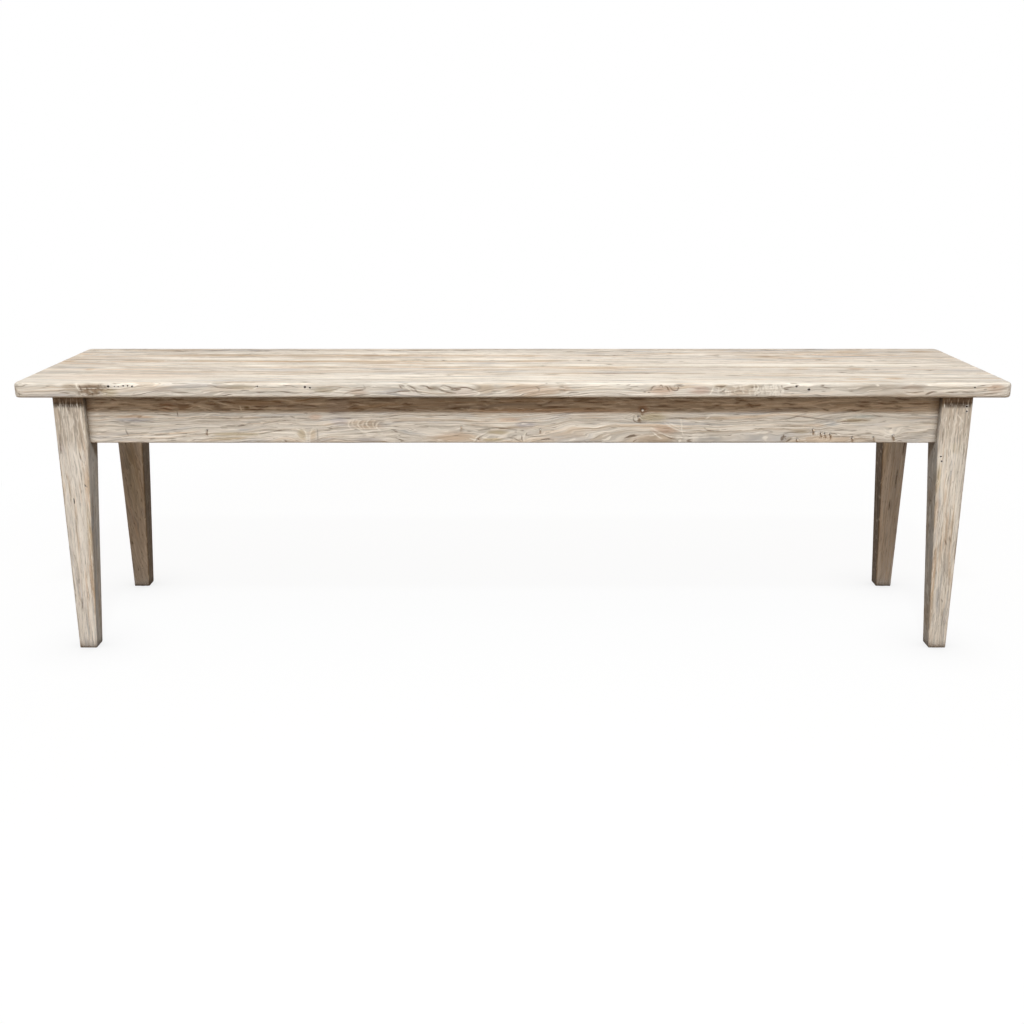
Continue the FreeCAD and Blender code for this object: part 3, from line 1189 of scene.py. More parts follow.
@dataclass
class Leg(Board):
    """Leg, square at the top and tapered on its two inner faces from the rails down.

    Attributes:
        knee: height at which the taper starts.
        foot: size of the foot.
        arris: radius of its long edges.
        foot_arris: radius of the edges under its foot.
    """

    knee: float = 358 * MM
    foot: float = 30 * MM
    arris: float = 2.2 * MM
    foot_arris: float = 1.0 * MM
    pitch: tuple[float, float, float] = (6 * MM, 6 * MM, 12 * MM)

    def outer(self) -> tuple[float, ...]:
        """Places of its two outer faces, which stay upright."""
        return tuple(max(ends, key=abs) for ends in zip(self.low.xy, self.high.xy))

    def squared(self, places: np.ndarray) -> np.ndarray:
        """Takes the taper out.

        Args:
            places: vertex places.

        Returns:
            The places as they lay in the square block.
        """
        size = self.high.x - self.low.x
        drop = np.clip((self.knee - places[:, 2]) / (self.knee - self.low.z), 0.0, 1.0)
        shrink = 1.0 - drop * (1.0 - self.foot / size)
        straight = places.copy()
        for axis, face in enumerate(self.outer()):
            straight[:, axis] = face + (places[:, axis] - face) / shrink
        return straight

    def shape(self, piece: bpy.types.Object) -> None:
        """Cuts the block at the knee, draws the foot in to its outer corner and eases the edges.

        Args:
            piece: the block in edit mode.
        """
        bpy.ops.mesh.select_all(action="SELECT")
        bpy.ops.mesh.bisect(plane_co=(0.0, 0.0, self.knee), plane_no=(0.0, 0.0, 1.0))
        select(piece, Part.FACE, lambda f: f.calc_center_median().z < self.low.z + TINY)
        share = self.foot / (self.high.x - self.low.x)
        bpy.ops.transform.resize(value=(share, share, 1.0), center_override=(*self.outer(), self.low.z))
        select(piece, Part.EDGE, lambda e: abs(e.verts[0].co.z - e.verts[1].co.z) > 10 * MM)
        bpy.ops.mesh.bevel(offset=self.arris, segments=3, profile=0.5)
        select(piece, Part.EDGE, lambda e: max(v.co.z for v in e.verts) < self.low.z + TINY)
        bpy.ops.mesh.bevel(offset=self.foot_arris, segments=2, profile=0.5)


@dataclass
class Seat:
    """The five planks of the seat.

    Attributes:
        top: height of the seat, in millimetres.
        face: place of its front edge across the bench, in millimetres.
    """

    top: float = 463.0
    face: float = -180.0

    def edge_lines(self) -> tuple[Line, ...]:
        """Draws worm trails, shakes and lime veins along the front edge.

        Returns:
            The lines.
        """
        scraped = ((-695, -650), (443, 458))
        frayed = ((385, 432), (445, 456))
        nicks = (1.5, 4.0)
        return (
            *drawn(
                Filling.LIME, 2.2, ((-697, 462), (-696, 456), (-693, 451)), ((-691, 444), (-687, 445)),
                ((321, 457), (318, 449), (315, 444)), ((-62, 450), (-53, 446), (-62, 442)),
                ((-479, 443), (-471, 445), (-462, 448)), ((-173, 457), (-165, 452), (-161, 448)),
            ),
            *drawn(
                Filling.LIME, 1.8, ((-553, 445), (-531, 444)), ((-415, 453), (-407, 456)),
                ((-357, 450), (-340, 449)), ((-292, 445), (-286, 448), (-272, 453)),
                ((-116, 456), (-109, 452), (-100, 451)), ((77, 446), (84, 447), (91, 449)),
                ((326, 451), (332, 450), (338, 454), (343, 453)), ((351, 457), (358, 456)),
                ((387, 443), (393, 447), (396, 450)), ((398, 445), (400, 454), (404, 457)),
                ((406, 447), (408, 453), (407, 457)), ((411, 443), (414, 449), (416, 455)),
                ((416, 445), (421, 453)), ((418, 455), (421, 457)), ((428, 444), (434, 450)),
                ((424, 450), (431, 453)),
            ),
            *drawn(
                Filling.RESIN, 2.2, ((-693, 460), (-690, 452), (-689, 448)), ((-682, 457), (-679, 451)),
                ((-667, 457), (-662, 453), (-657, 451)), ((-673, 448), (-672, 441)),
                ((-655, 453), (-661, 447), (-667, 443)), ((-180, 460), (-180, 457), (-177, 454)),
                ((-168, 459), (-164, 457), (-157, 453), (-153, 448), (-147, 447)),
                ((-147, 458), (-138, 457), (-134, 454), (-127, 453)),
                ((-116, 456), (-111, 459), (-107, 458), (-102, 456), (-95, 454), (-78, 455), (-67, 453),
                 (-53, 447)), ((-118, 452), (-111, 449), (-102, 447), (-92, 446)),
                ((-201, 446), (-190, 447), (-176, 449), (-157, 449)),
            ),
            *drawn(
                Filling.RESIN, 1.9, ((220, 450), (222, 454), (225, 457), (228, 457)),
                ((234, 457), (237, 459), (239, 456)), ((243, 457), (246, 456), (249, 451), (250, 449)),
                ((209, 448), (213, 448)), ((216, 447), (219, 447)),
                ((250, 457), (252, 455), (254, 452), (259, 450), (263, 451), (264, 456), (261, 459),
                 (258, 457)), ((325, 457), (333, 456), (339, 458)), ((330, 448), (334, 448), (339, 451)),
                ((390, 444), (390, 441)), ((429, 458), (430, 455)), ((431, 453), (440, 452)),
                ((381, 455), (390, 456)),
            ),
            *drawn(
                Filling.RESIN, 1.7, ((-650, 454), (-644, 451), (-633, 452)), ((-745, 457), (-740, 457)),
                ((-708, 458), (-700, 456)), ((-683, 441), (-674, 444)), ((-412, 455), (-408, 458)),
                ((-487, 459), (-479, 458), (-471, 455), (-456, 454), (-445, 454), (-430, 454)),
                ((-546, 448), (-533, 447), (-520, 447)), ((-366, 459), (-353, 457), (-343, 455)),
                ((-371, 448), (-360, 447), (-347, 446), (-338, 447)),
                ((-316, 449), (-302, 449), (-288, 451), (-274, 455)),
                ((-272, 443), (-264, 447), (-253, 449), (-242, 451), (-236, 454), (-239, 459)),
                ((-410, 447), (-397, 447)), ((74, 456), (81, 456)), ((74, 450), (83, 451)),
                ((87, 445), (94, 447), (105, 447)), ((-34, 449), (-20, 449)),
                ((37, 456), (42, 453), (41, 449)), ((491, 456), (499, 455), (507, 453)),
                ((493, 449), (499, 449)), ((537, 449), (544, 449)), ((452, 458), (456, 459)),
                ((693, 447), (712, 447)), ((719, 447), (737, 447)), ((628, 447), (644, 447), (656, 449)),
                ((755, 444), (774, 445)), share=0.8,
            ),
            *scattered(Filling.RESIN, 2.0, 18, *scraped, 31, upright=True, share=0.7, reach=nicks),
            *scattered(Filling.LIME, 2.0, 10, (-700, -650), (441, 450), 32, reach=nicks),
            *scattered(Filling.RESIN, 1.5, 14, (330, 378), (443, 457), 33, share=0.5, reach=(1.5, 5.0)),
            *scattered(Filling.LIME, 2.0, 16, (325, 380), (443, 457), 34, upright=True, reach=nicks),
            *scattered(Filling.LIME, 2.0, 26, *frayed, 35, upright=True, share=0.95, reach=(2.5, 6.0)),
            *scattered(Filling.RESIN, 2.0, 14, *frayed, 36, upright=True, share=0.45, reach=(2.0, 5.0)),
        )

    def edge_stains(self) -> tuple[Stain, ...]:
        """Lays scraped, pinkish and bleached patches along the front edge.

        Returns:
            The patches.
        """
        return (
            Stain((-674, 452), (25, 12), "#94806a", 0.95), Stain((-707, 457), (13, 6), "#a49078", 0.65),
            Stain((-645, 447), (13, 8), "#beaf8e", 0.6), Stain((-634, 459), (12, 4), "#fdf7ec", 0.7),
            Stain((-561, 452), (24, 4), "#beafa3", 0.6), Stain((-437, 456), (26, 4), "#b8aa92", 0.6),
            Stain((-466, 450), (26, 6), "#e6d9ca", 0.6), Stain((-300, 451), (19, 4), "#bbad91", 0.6),
            Stain((-248, 448), (15, 5), "#c4ad9a", 0.6), Stain((-334, 451), (12, 5), "#f8efe1", 0.7),
            Stain((-127, 454), (10, 4), "#ad9e8a", 0.7), Stain((-78, 448), (21, 7), "#e6d9cf", 0.6),
            Stain((-166, 447), (20, 5), "#eaded1", 0.5), Stain((-44, 454), (14, 9), "#c9b59d", 0.6),
            Stain((33, 451), (44, 9), "#ceb7a1", 0.7), Stain((81, 454), (12, 6), "#c2aa95", 0.6),
            Stain((239, 451), (22, 8), "#d0b5a0", 0.7), Stain((299, 451), (18, 7), "#caae9f", 0.7),
            Stain((386, 457), (11, 4), "#bbaa93", 0.7), Stain((332, 457), (12, 4), "#beac94", 0.7),
            Stain((406, 449), (22, 8), "#ede5d8", 0.6), Stain((362, 450), (26, 9), "#cdb79d", 0.6),
            Stain((581, 455), (44, 7), "#c4b4a1", 0.5), Stain((640, 454), (20, 6), "#c2ae9c", 0.7),
            Stain((700, 454), (34, 8), "#f1eadd", 0.6), Stain((771, 455), (15, 6), "#caab94", 0.7),
        )

    def top_figure(self) -> Figure:
        """Draws streaks on the seat's top, long enough to read as bands from a low view.

        Returns:
            The marks.
        """
        whole = ((-790, 790), (-170, 175))
        grey = (
            (-787, -771, 152), (-730, -714, 162), (-626, -605, 145), (-574, -533, 152), (-485, -453, 148),
            (-401, -366, 154), (-276, -250, 160), (-232, -204, 154), (-192, -166, 154), (-106, -75, 154),
            (98, 115, 141), (152, 183, 141), (209, 223, 145), (467, 496, 160), (692, 715, 136),
        )
        dark = (
            (-690, -675, 44), (-623, -574, -67), (-527, -504, -67), (-402, -348, 24), (-237, -204, -52),
            (-150, -71, -40), (-318, -302, -37), (160, 210, 95), (57, 75, -100), (152, 177, -93),
            (195, 239, -88), (355, 372, -112), (445, 467, 78),
        )
        white = (
            (-640, -396, 59), (-688, -583, 3), (-702, -667, -38), (-464, -413, -15), (-343, -303, -9),
            (-136, -72, -9), (-35, -9, -9), (97, 152, -9), (-20, 9, -17), (543, 779, -4), (300, 600, -6),
        )
        tan = (
            (-700, -602, 34), (-576, -521, 34), (-798, -769, 31), (-725, -710, -53), (-421, -31, 95),
            (-277, -191, 11), (-21, 65, 91), (-20, 88, 32), (85, 203, -40), (584, 650, 136),
            (728, 776, 141), (467, 506, -48), (543, 580, -143), (603, 638, -140), (568, 602, -48),
            (427, 488, 83), (-520, -330, 30), (-640, -450, 100),
        )
        dots = (
            (-193, 40), (-167, 49), (-153, 37), (-135, 37), (-123, 40), (-40, -85), (-105, -107),
            (-333, -171), (51, -17), (118, 40), (135, 44), (168, -1), (371, 91), (548, 49), (629, 27),
            (617, -52), (704, -63), (693, -24), (552, -81),
        )
        bands = (
            Stain((500, -8), (300, 12), "#f7f1e5", 0.8), Stain((100, -8), (320, 10), "#f4ede0", 0.6),
            Stain((-420, -8), (200, 9), "#f1e9db", 0.5), Stain((0, -30), (620, 7), "#cab296", 0.6),
            Stain((-250, 50), (360, 9), "#f3ebdd", 0.65), Stain((-300, 31), (340, 9), "#c6ab8c", 0.75),
            Stain((-400, -78), (270, 8), "#c9b196", 0.6), Stain((250, -95), (360, 5), "#bda68b", 0.6),
            Stain((-250, 122), (420, 8), "#efe8dc", 0.6), Stain((500, 124), (220, 7), "#c0ae9a", 0.5),
            Stain((-350, 92), (360, 16), "#d2bb9f", 0.55), Stain((0, -130), (800, 22), "#e9e2d6", 0.4),
            Stain((0, 166), (800, 12), "#b3a799", 0.55), Stain((-640, -120), (130, 40), "#e3cfbd", 0.4),
        )
        return Figure(
            Face.TOP, self.top, fade=2.5,
            lines=(
                *drawn(Filling.RESIN, 9.0, *(((a, y), (b, y)) for a, b, y in grey), share=0.8),
                *drawn(Filling.RESIN, 7.5, *(((a, y), (b, y)) for a, b, y in dark), share=0.7),
                *drawn(Filling.RESIN, 7.5, *(((x - 4, y), (x + 4, y)) for x, y in dots)),
                *drawn(Filling.LIME, 14.0, *(((a, y), (b, y)) for a, b, y in white)),
                *scattered(Filling.RESIN, 5.0, 90, *whole, 21, share=0.5, reach=(8.0, 50.0)),
                *scattered(Filling.LIME, 6.0, 70, *whole, 22, share=0.6, reach=(10.0, 60.0)),
            ),
            stains=(
                *bands, *(Stain(((a + b) / 2, y), ((b - a) / 2, 10.0), "#c6ac8e", 0.7) for a, b, y in tan),
            ),
        )

    def flaws(self) -> tuple[Flaw, ...]:
        """Places worm holes along the front edge.

        Returns:
            The holes.
        """
        return worm_holes(self.face, {
            4.4: ((-646, 457), (-332, 456), (473, 452)),
            3.6: ((-324, 455), (453, 457), (-608, 457)),
            3.0: ((-615, 458), (-622, 458), (-408, 457), (738, 455)),
            2.2: ((-636, 457), (-630, 457)),
        })

    def build(self) -> None:
        """Builds each plank with its own cut of the tree."""
        edge = Figure(Face.FRONT, self.face, self.edge_lines(), self.edge_stains())
        wave = Bend((-100.0, self.face, 450.0), (60.0, 20.0, 9.0), 0.8)
        cuts = {
            "front": dict(seed=1.0, pith=(40.0, -385.0), bends=(wave,), spring="#e7e0d5"),
            "inner_front": dict(seed=2.3, pith=(-10.0, -395.0)),
            "middle": dict(seed=3.7, pith=(-60.0, -380.0)),
            "inner_back": dict(seed=4.9, pith=(-110.0, -390.0), warm=0.65),
            "back": dict(seed=6.1, pith=(-190.0, -400.0), cool=0.8, spring="#dcd5cb", summer="#a89888"),
        }
        for name, cut in cuts.items():
            wood = f"Limed pine, {name.replace('_', ' ')} plank"
            finish = LimedPine(wood, stretch=1.3, wander=10.0, ripple=2.5, **cut)
            plank = SeatPlank(f"seat_plank_{name}", finish, (self.top_figure(),))
            if name == "front":
                plank.figures = (self.top_figure(), edge)
                plank.flaws = self.flaws()
                plank.pitch = (13 * MM, 8 * MM, 6 * MM)
            if name == "back":
                plank.figures = (self.top_figure(), edge.on_the_back())
                plank.pitch = (12 * MM, 8 * MM, 6 * MM)
            plank.build()


@dataclass
class Frame:
    """The rails and legs that carry the seat.

    Attributes:
        apron: place of the front rail's face across the bench, in millimetres.
        leg_face: place of the front legs' faces, in millimetres.
        back_leg_face: middle of the back legs' tapered inner faces, in millimetres.
    """

    apron: float = -154.0
    leg_face: float = -168.0
    back_leg_face: float = 128.0

    def apron_lines(self) -> tuple[Line, ...]:
        """Draws loops, arches, a comb and shakes along the front rail.

        Returns:
            The lines.
        """
        comb = (
            (-267, 3, 396), (-261, 2, 398), (-251, 4, 397), (-244, 3, 395), (-237, 4, 398),
            (-227, 2, 396), (-221, 4, 394),
        )
        ribs = tuple(
            ((x + lean, z), (x - 1, z - 4), (x - lean / 2, z - 9), (x + lean, z - 11 - lean))
            for x, lean, z in comb
        )
        return (
            *drawn(
                Filling.LIME, 2.3, ((-344, 383), (-339, 376), (-338, 368), (-338, 360)),
                ((-326, 384), (-331, 376), (-333, 368), (-333, 360)),
                ((-64, 361), (-58, 369), (-49, 373), (-41, 377)),
                ((-52, 363), (-42, 369), (-35, 372), (-21, 371), (-9, 369)),
                ((26, 380), (21, 375), (18, 369), (18, 361)),
                ((226, 384), (240, 376), (250, 372), (259, 369), (284, 367), (307, 368), (338, 369)),
                ((-416, 372), (-386, 375), (-365, 376), (-356, 373), (-349, 366), (-342, 361)),
            ),
            *drawn(Filling.LIME, 2.0, *ribs[::2]),
            *drawn(Filling.LIME, 1.6, *ribs[1::2], share=0.75),
            *drawn(Filling.RESIN, 1.6, *(tuple((x + 3, z) for x, z in rib[:3]) for rib in ribs), share=0.4),
            *scattered(Filling.RESIN, 2.6, 90, (-690, 690), (413, 436), 5, share=0.95),
            *scattered(Filling.LIME, 2.4, 70, (-690, 690), (413, 436), 6),
            *scattered(Filling.RESIN, 1.5, 60, (-690, 690), (362, 410), 7, share=0.5),
            *drawn(
                Filling.LIME, 2.4, ((-489, 429), (-472, 424), (-457, 420)), ((-444, 420), (-442, 413)),
                ((-388, 431), (-365, 429), (-345, 424)), ((-398, 417), (-385, 415)),
                ((-524, 424), (-512, 420), (-500, 414)),
            ),
            *drawn(
                Filling.RESIN, 2.6, ((-486, 432), (-468, 428), (-452, 424)),
                ((-388, 427), (-375, 426), (-362, 425)), ((-390, 420), (-372, 417)),
                ((-350, 423), (-330, 421), (-317, 419)), ((-245, 435), (-205, 432), (-170, 435)),
                ((-212, 416), (-195, 415), (-163, 412)), ((-106, 416), (-82, 415)),
                ((276, 434), (290, 433), (308, 430)), ((410, 435), (422, 431)), ((504, 415), (515, 412)),
                ((622, 420), (634, 418)),
            ),
            *drawn(
                Filling.LIME, 1.9, ((-211, 392), (-197, 393)),
                ((-259, 386), (-251, 381), (-242, 376), (-228, 374), (-200, 377)),
                ((-246, 375), (-230, 372), (-186, 374)), ((-40, 386), (-23, 387), (-10, 385)),
                ((-36, 381), (-23, 382)), ((26, 381), (37, 381)), ((-23, 392), (10, 393)),
                ((229, 377), (237, 370), (244, 366)), ((247, 393), (255, 388), (261, 384), (277, 378)),
                ((255, 392), (267, 386), (276, 382)), ((274, 398), (276, 388), (277, 378), (279, 372)),
                ((279, 395), (295, 396), (311, 393)), ((315, 399), (321, 403)),
                ((202, 402), (202, 398), (207, 398)),
                ((-506, 402), (-497, 406), (-486, 408), (-478, 407)),
                ((-602, 371), (-586, 374), (-569, 376)), ((-661, 370), (-644, 369), (-637, 366)),
                ((-527, 369), (-514, 367), (-496, 369)), ((-520, 421), (-505, 418), (-490, 414)),
                ((-381, 364), (-376, 363), (-375, 361)), ((-445, 397), (-423, 397)),
                ((-468, 381), (-448, 380)), ((533, 395), (541, 398), (545, 397)),
                ((617, 376), (624, 374)), ((607, 369), (615, 373)), ((608, 381), (617, 376)),
                ((632, 380), (623, 375)), ((445, 383), (475, 384)),
            ),
            *drawn(
                Filling.RESIN, 1.8, ((-61, 361), (-54, 368), (-42, 375)),
                ((-56, 379), (-42, 382), (-33, 383), (-17, 383), (-4, 382), (6, 380)),
                ((-9, 368), (2, 366), (8, 363), (14, 361)), ((15, 370), (15, 365), (17, 361)),
                ((23, 376), (21, 371)), ((13, 379), (18, 379)), ((245, 373), (257, 367), (268, 364)),
                ((198, 404), (197, 397), (203, 393), (217, 393)),
                ((313, 384), (318, 380), (326, 379), (337, 380)), ((203, 404), (207, 401)),
                ((209, 415), (214, 413)), ((251, 399), (267, 400), (283, 400)),
                ((-513, 418), (-501, 415), (-490, 412)), ((-547, 411), (-546, 403)),
                ((-633, 381), (-632, 376), (-630, 372)), ((-597, 371), (-580, 372), (-563, 374)),
                ((-478, 385), (-465, 387), (-448, 387), (-437, 389), (-428, 392), (-413, 393)),
                ((-407, 391), (-384, 395), (-368, 396), (-355, 396)),
                ((-415, 373), (-397, 377), (-374, 380), (-363, 380)),
                ((426, 396), (450, 399), (465, 403), (481, 401), (507, 398), (523, 397)),
                ((535, 394), (557, 395), (583, 396)),
            ),
            *drawn(
                Filling.RESIN, 1.7, ((-320, 382), (-320, 361)), ((-301, 383), (-295, 383)),
                ((-634, 392), (-624, 392)), ((-635, 388), (-608, 387)), ((-596, 365), (-587, 366)),
                ((-567, 362), (-553, 363)), ((-573, 406), (-558, 406)),
                ((-411, 401), (-384, 401), (-373, 404)), ((-363, 403), (-356, 401)),
                ((-352, 399), (-331, 399)), ((-446, 401), (-440, 402)), ((-474, 399), (-460, 399)),
                ((-340, 408), (-335, 408)), ((-436, 416), (-430, 417)),
                ((521, 369), (542, 369), (556, 368)), ((445, 375), (464, 377), (481, 378)),
                ((587, 405), (598, 403), (603, 403)), ((598, 393), (609, 395)), ((550, 378), (563, 379)),
                ((578, 375), (587, 375)), ((427, 387), (440, 387), (473, 387)),
                ((444, 374), (444, 369), (448, 365)), ((614, 382), (620, 383)), share=0.8,
            ),
        )

    def apron_stains(self) -> tuple[Stain, ...]:
        """Lays painted shade along the rail's lower arris and under the seat's overhang, then olive,
        pinkish, silvered and resinous patches along the front rail.

        Returns:
            The patches.
        """
        return (
            # The first two stains are painted shade: a dark line along the shaded lower arris, and a darker
            # band under the seat's overhang.
            Stain((0, 357), (900, 2.5), "#85766a", 0.6), Stain((0, 425), (900, 14), "#a0886b", 0.42),
            Stain((-285, 418), (18, 18), "#b3aaa8", 0.5), Stain((60, 412), (150, 4), "#d8ac82", 0.4),
            Stain((-345, 372), (8, 10), "#beac86", 0.55), Stain((-328, 372), (6, 9), "#ccb38f", 0.5),
            Stain((-283, 394), (15, 7), "#b0aab0", 0.55), Stain((-239, 389), (26, 8), "#cab092", 0.6),
            Stain((-237, 363), (26, 4), "#a09b9d", 0.6), Stain((-26, 376), (18, 4), "#c6b389", 0.65),
            Stain((-33, 364), (17, 3), "#c6b389", 0.65), Stain((21, 389), (16, 5), "#b5afb9", 0.6),
            Stain((-78, 405), (18, 5), "#bbb7b3", 0.5), Stain((-6, 397), (19, 4), "#dbbea4", 0.6),
            Stain((-98, 370), (25, 8), "#dcc3aa", 0.5), Stain((228, 401), (24, 8), "#baaa82", 0.65),
            Stain((212, 416), (9, 7), "#a5754f", 0.6), Stain((250, 380), (21, 8), "#d2b59e", 0.75),
            Stain((-535, 420), (16, 7), "#7d6247", 0.7), Stain((-563, 419), (14, 7), "#b59378", 0.6),
            Stain((-616, 402), (31, 3), "#cca67d"), Stain((-619, 397), (30, 4), "#bdbfc7"),
            Stain((-322, 402), (11, 5), "#d6b197", 0.5), Stain((-452, 373), (44, 3), "#bfad85", 0.6),
            Stain((-467, 366), (30, 3), "#b8a684", 0.6), Stain((-433, 417), (5, 3), "#7d6a48", 0.8),
            Stain((519, 391), (14, 4), "#c3c8ca"), Stain((572, 403), (17, 3), "#cfd5ce", 0.6),
            Stain((557, 396), (28, 3), "#b7a278", 0.6), Stain((471, 377), (17, 3), "#b7a278", 0.5),
            Stain((620, 375), (5, 4), "#fbf5ea", 0.9),
        )

    def apron_flaws(self) -> tuple[Flaw, ...]:
        """Places worm holes and pin knots along the front rail.

        Returns:
            The holes.
        """
        return worm_holes(self.apron, {
            3.8: ((623, 371), (206, 402), (211, 414)),
            3.0: ((491, 381), (520, 374), (466, 365), (556, 368)),
            2.4: ((504, 375), (511, 375), (591, 369), (45, 382), (-84, 386), (-500, 380)),
        })

    def build_rails(self) -> None:
        """Builds the four rails."""
        front = Figure(Face.FRONT, self.apron, self.apron_lines(), self.apron_stains())
        loops = tuple(
            Bend((x, self.apron, z), reach, rings) for x, z, reach, rings in (
                (-335.0, 366.0, (22.0, 20.0, 14.0), 0.9), (-537.0, 412.0, (26.0, 20.0, 10.0), 0.8),
                (-40.0, 362.0, (34.0, 20.0, 12.0), 0.9), (208.0, 402.0, (18.0, 20.0, 10.0), 0.8),
                (619.0, 374.0, (14.0, 20.0, 9.0), 0.7),
            )
        )
        rails = {
            "long_rail_front": dict(seed=8.2, pith=(110.0, -350.0), bends=loops),
            "long_rail_back": dict(seed=9.4, pith=(-110.0, -350.0)),
            "end_rail_left": dict(seed=10.6, pith=(-674.0, -350.0), grain=Grain.ALONG_Y),
            "end_rail_right": dict(seed=11.8, pith=(674.0, -350.0), grain=Grain.ALONG_Y),
        }
        for node, cut in rails.items():
            finish = LimedPine(
                name=f"Limed pine, {node.replace('_', ' ')}", spring="#e8e1d6", summer="#b09a80",
                edge_wear_and_highlight_tone="#d2c0a8", spots=0.25, **cut,
            )
            rail = Rail(node, finish, pitch=(6 * MM, 16 * MM, 6 * MM))
            if node.startswith("long"):
                rail.pitch = (12 * MM, 10 * MM, 10 * MM)
                rail.halvings = 1
                rail.cuts = {Face.FRONT: 3, Face.BACK: 1}
                rail.figures = (front if node.endswith("front") else front.on_the_back(),)
            if node == "long_rail_front":
                rail.flaws = self.apron_flaws()
            rail.build()

    def foot(self, side: float) -> Stain:
        """Painted shade along the bottom of a foot, on the left for a side of -1 and on the right for 1."""
        return Stain((728 * side, 0), (40, 4), "#5f5449", 0.75)

    def front_leg(
        self,
        side: float,
        seed: int,
        lime: tuple[Path, ...],
        slits: tuple[Path, ...],
        stains: tuple[Stain, ...],
        shadow: float,
    ) -> Figure:
        """Draws the front of a front leg.

        Args:
            side: -1 for the left leg, 1 for the right one.
            seed: starts the dice for the scattered lines.
            lime: the leg's own lime lines.
            slits: the leg's own dark slits.
            stains: the leg's own patches, which lie under those that both legs have.
            shadow: how dark the painted shadow under the seat ends, from 0 to 1.

        Returns:
            The marks.
        """
        along = tuple(sorted((694 * side, 742 * side)))
        return Figure(
            Face.FRONT, self.leg_face,
            lines=(
                *drawn(Filling.LIME, 2.0, *lime),
                *drawn(Filling.RESIN, 1.8, *slits),
                *scattered(Filling.LIME, 1.6, 150, along, (5, 408), seed, upright=True, share=0.9),
                *scattered(Filling.RESIN, 1.3, 70, along, (5, 435), seed + 1, upright=True, share=0.45),
            ),
            stains=(
                # After the leg's own patches, painted shade: a dark strip down the outer arris and a dark
                # line along the foot.
                *stains, Stain((743 * side, 220), (2.5, 260), "#8b7d6e", 0.5), self.foot(side),
                # Painted shade and shadow: the leg darker near its top, then the seat's shadow across it,
                # darkest just below the seat.
                Stain((718 * side, 400), (60, 45), "#c4b6a5", 0.7),
                Stain((718 * side, 438), (60, 16), "#6d5a45", 0.75),
                Stain((718 * side, 425), (60, 5), "#3b2e22", shadow),
            ),
        )

    def leg_figures(self) -> dict[str, tuple[Figure, ...]]:
        """Draws lime lines, slits and ochre arrises, with painted shade and light: dark feet, the seat's
        shadow on the front legs, a pale lower end on the back left leg and dark inner faces on the back
        legs.

        Returns:
            Corner of the bench to the marks on its leg.
        """
        left = self.front_leg(
            -1, 11, shadow=0.75,
            lime=(
                ((-733, 422), (-732, 415)), ((-726, 422), (-727, 407)), ((-722, 424), (-720, 407)),
                ((-712, 402), (-712, 391)), ((-708, 319), (-704, 324)),
                ((-710, 362), (-711, 344), (-712, 328)), ((-733, 223), (-734, 194)),
                ((-730, 182), (-731, 128)), ((-731, 53), (-735, 22)), ((-727, 37), (-728, 15)),
            ),
            slits=(
                ((-730, 421), (-730, 412)), ((-718, 421), (-717, 410)),
                ((-708, 344), (-706, 333), (-702, 328)), ((-706, 292), (-701, 287)),
                ((-736, 376), (-738, 357), (-737, 344)), ((-734, 168), (-731, 143), (-732, 119)),
                ((-730, 93), (-731, 68)),
            ),
            stains=(
                Stain((-699, 280), (4, 50), "#cfae88", 0.6), Stain((-705, 205), (4, 50), "#c9b28b", 0.7),
                Stain((-709, 120), (4, 60), "#cfa97e", 0.7), Stain((-738, 357), (5, 24), "#a99c98", 0.5),
            ),
        )
        right = self.front_leg(
            1, 13, shadow=0.7,
            lime=(
                ((718, 410), (724, 404), (731, 395)), ((729, 399), (723, 390)), ((730, 385), (726, 377)),
                ((733, 362), (734, 344)), ((718, 292), (717, 272), (716, 252), (717, 230)),
                ((733, 420), (734, 416)), ((711, 204), (709, 182)), ((718, 116), (713, 104)),
                ((729, 113), (730, 93)), ((729, 53), (729, 22)),
            ),
            slits=(
                ((717, 420), (715, 410), (714, 400)), ((719, 314), (717, 308), (716, 300), (715, 291)),
                ((730, 314), (730, 304)), ((735, 362), (737, 344), (737, 327)), ((722, 195), (725, 187)),
                ((729, 201), (731, 191)), ((727, 89), (729, 85)),
            ),
            stains=(
                Stain((700, 300), (4, 26), "#bfae88", 0.6), Stain((702, 240), (4, 30), "#cfae88", 0.6),
                Stain((708, 135), (4, 60), "#cfa97e", 0.65), Stain((722, 354), (8, 10), "#bdae8c", 0.5),
                Stain((721, 367), (7, 6), "#b3aca9", 0.5),
            ),
        )
        back_left = Figure(
            Face.FRONT, self.back_leg_face, fade=30.0,
            stains=(
                # The olive streak is the wood's own; the pale patch at the foot is painted light, the leg's
                # lower end lit below the seat's shadow.
                Stain((-722, 235), (13, 80), "#bdb292", 0.4), Stain((-728, 50), (40, 60), "#e6e2dc", 0.5),
                self.foot(-1),
            ),
        )
        back_right = Figure(
            Face.FRONT, self.back_leg_face, fade=30.0,
            lines=drawn(
                Filling.RESIN, 2.2, ((716, 330), (715, 300)), ((738, 310), (736, 270)),
                ((722, 180), (722, 160)), ((730, 240), (729, 205)),
            ),
            stains=(Stain((704, 300), (5, 70), "#bfae8c", 0.5), self.foot(1)),
        )
        # Painted shade: the back legs' inner faces, darkened where the seat shades them.
        painted_inner_shade = (Stain((140, 200), (90, 400), "#8a765f", 0.8),)
        return {
            "front_left": (left,), "front_right": (right,),
            "back_left": (back_left, Figure(Face.RIGHT, -703.0, stains=painted_inner_shade, fade=30.0)),
            "back_right": (back_right, Figure(Face.LEFT, 703.0, stains=painted_inner_shade, fade=30.0)),
        }

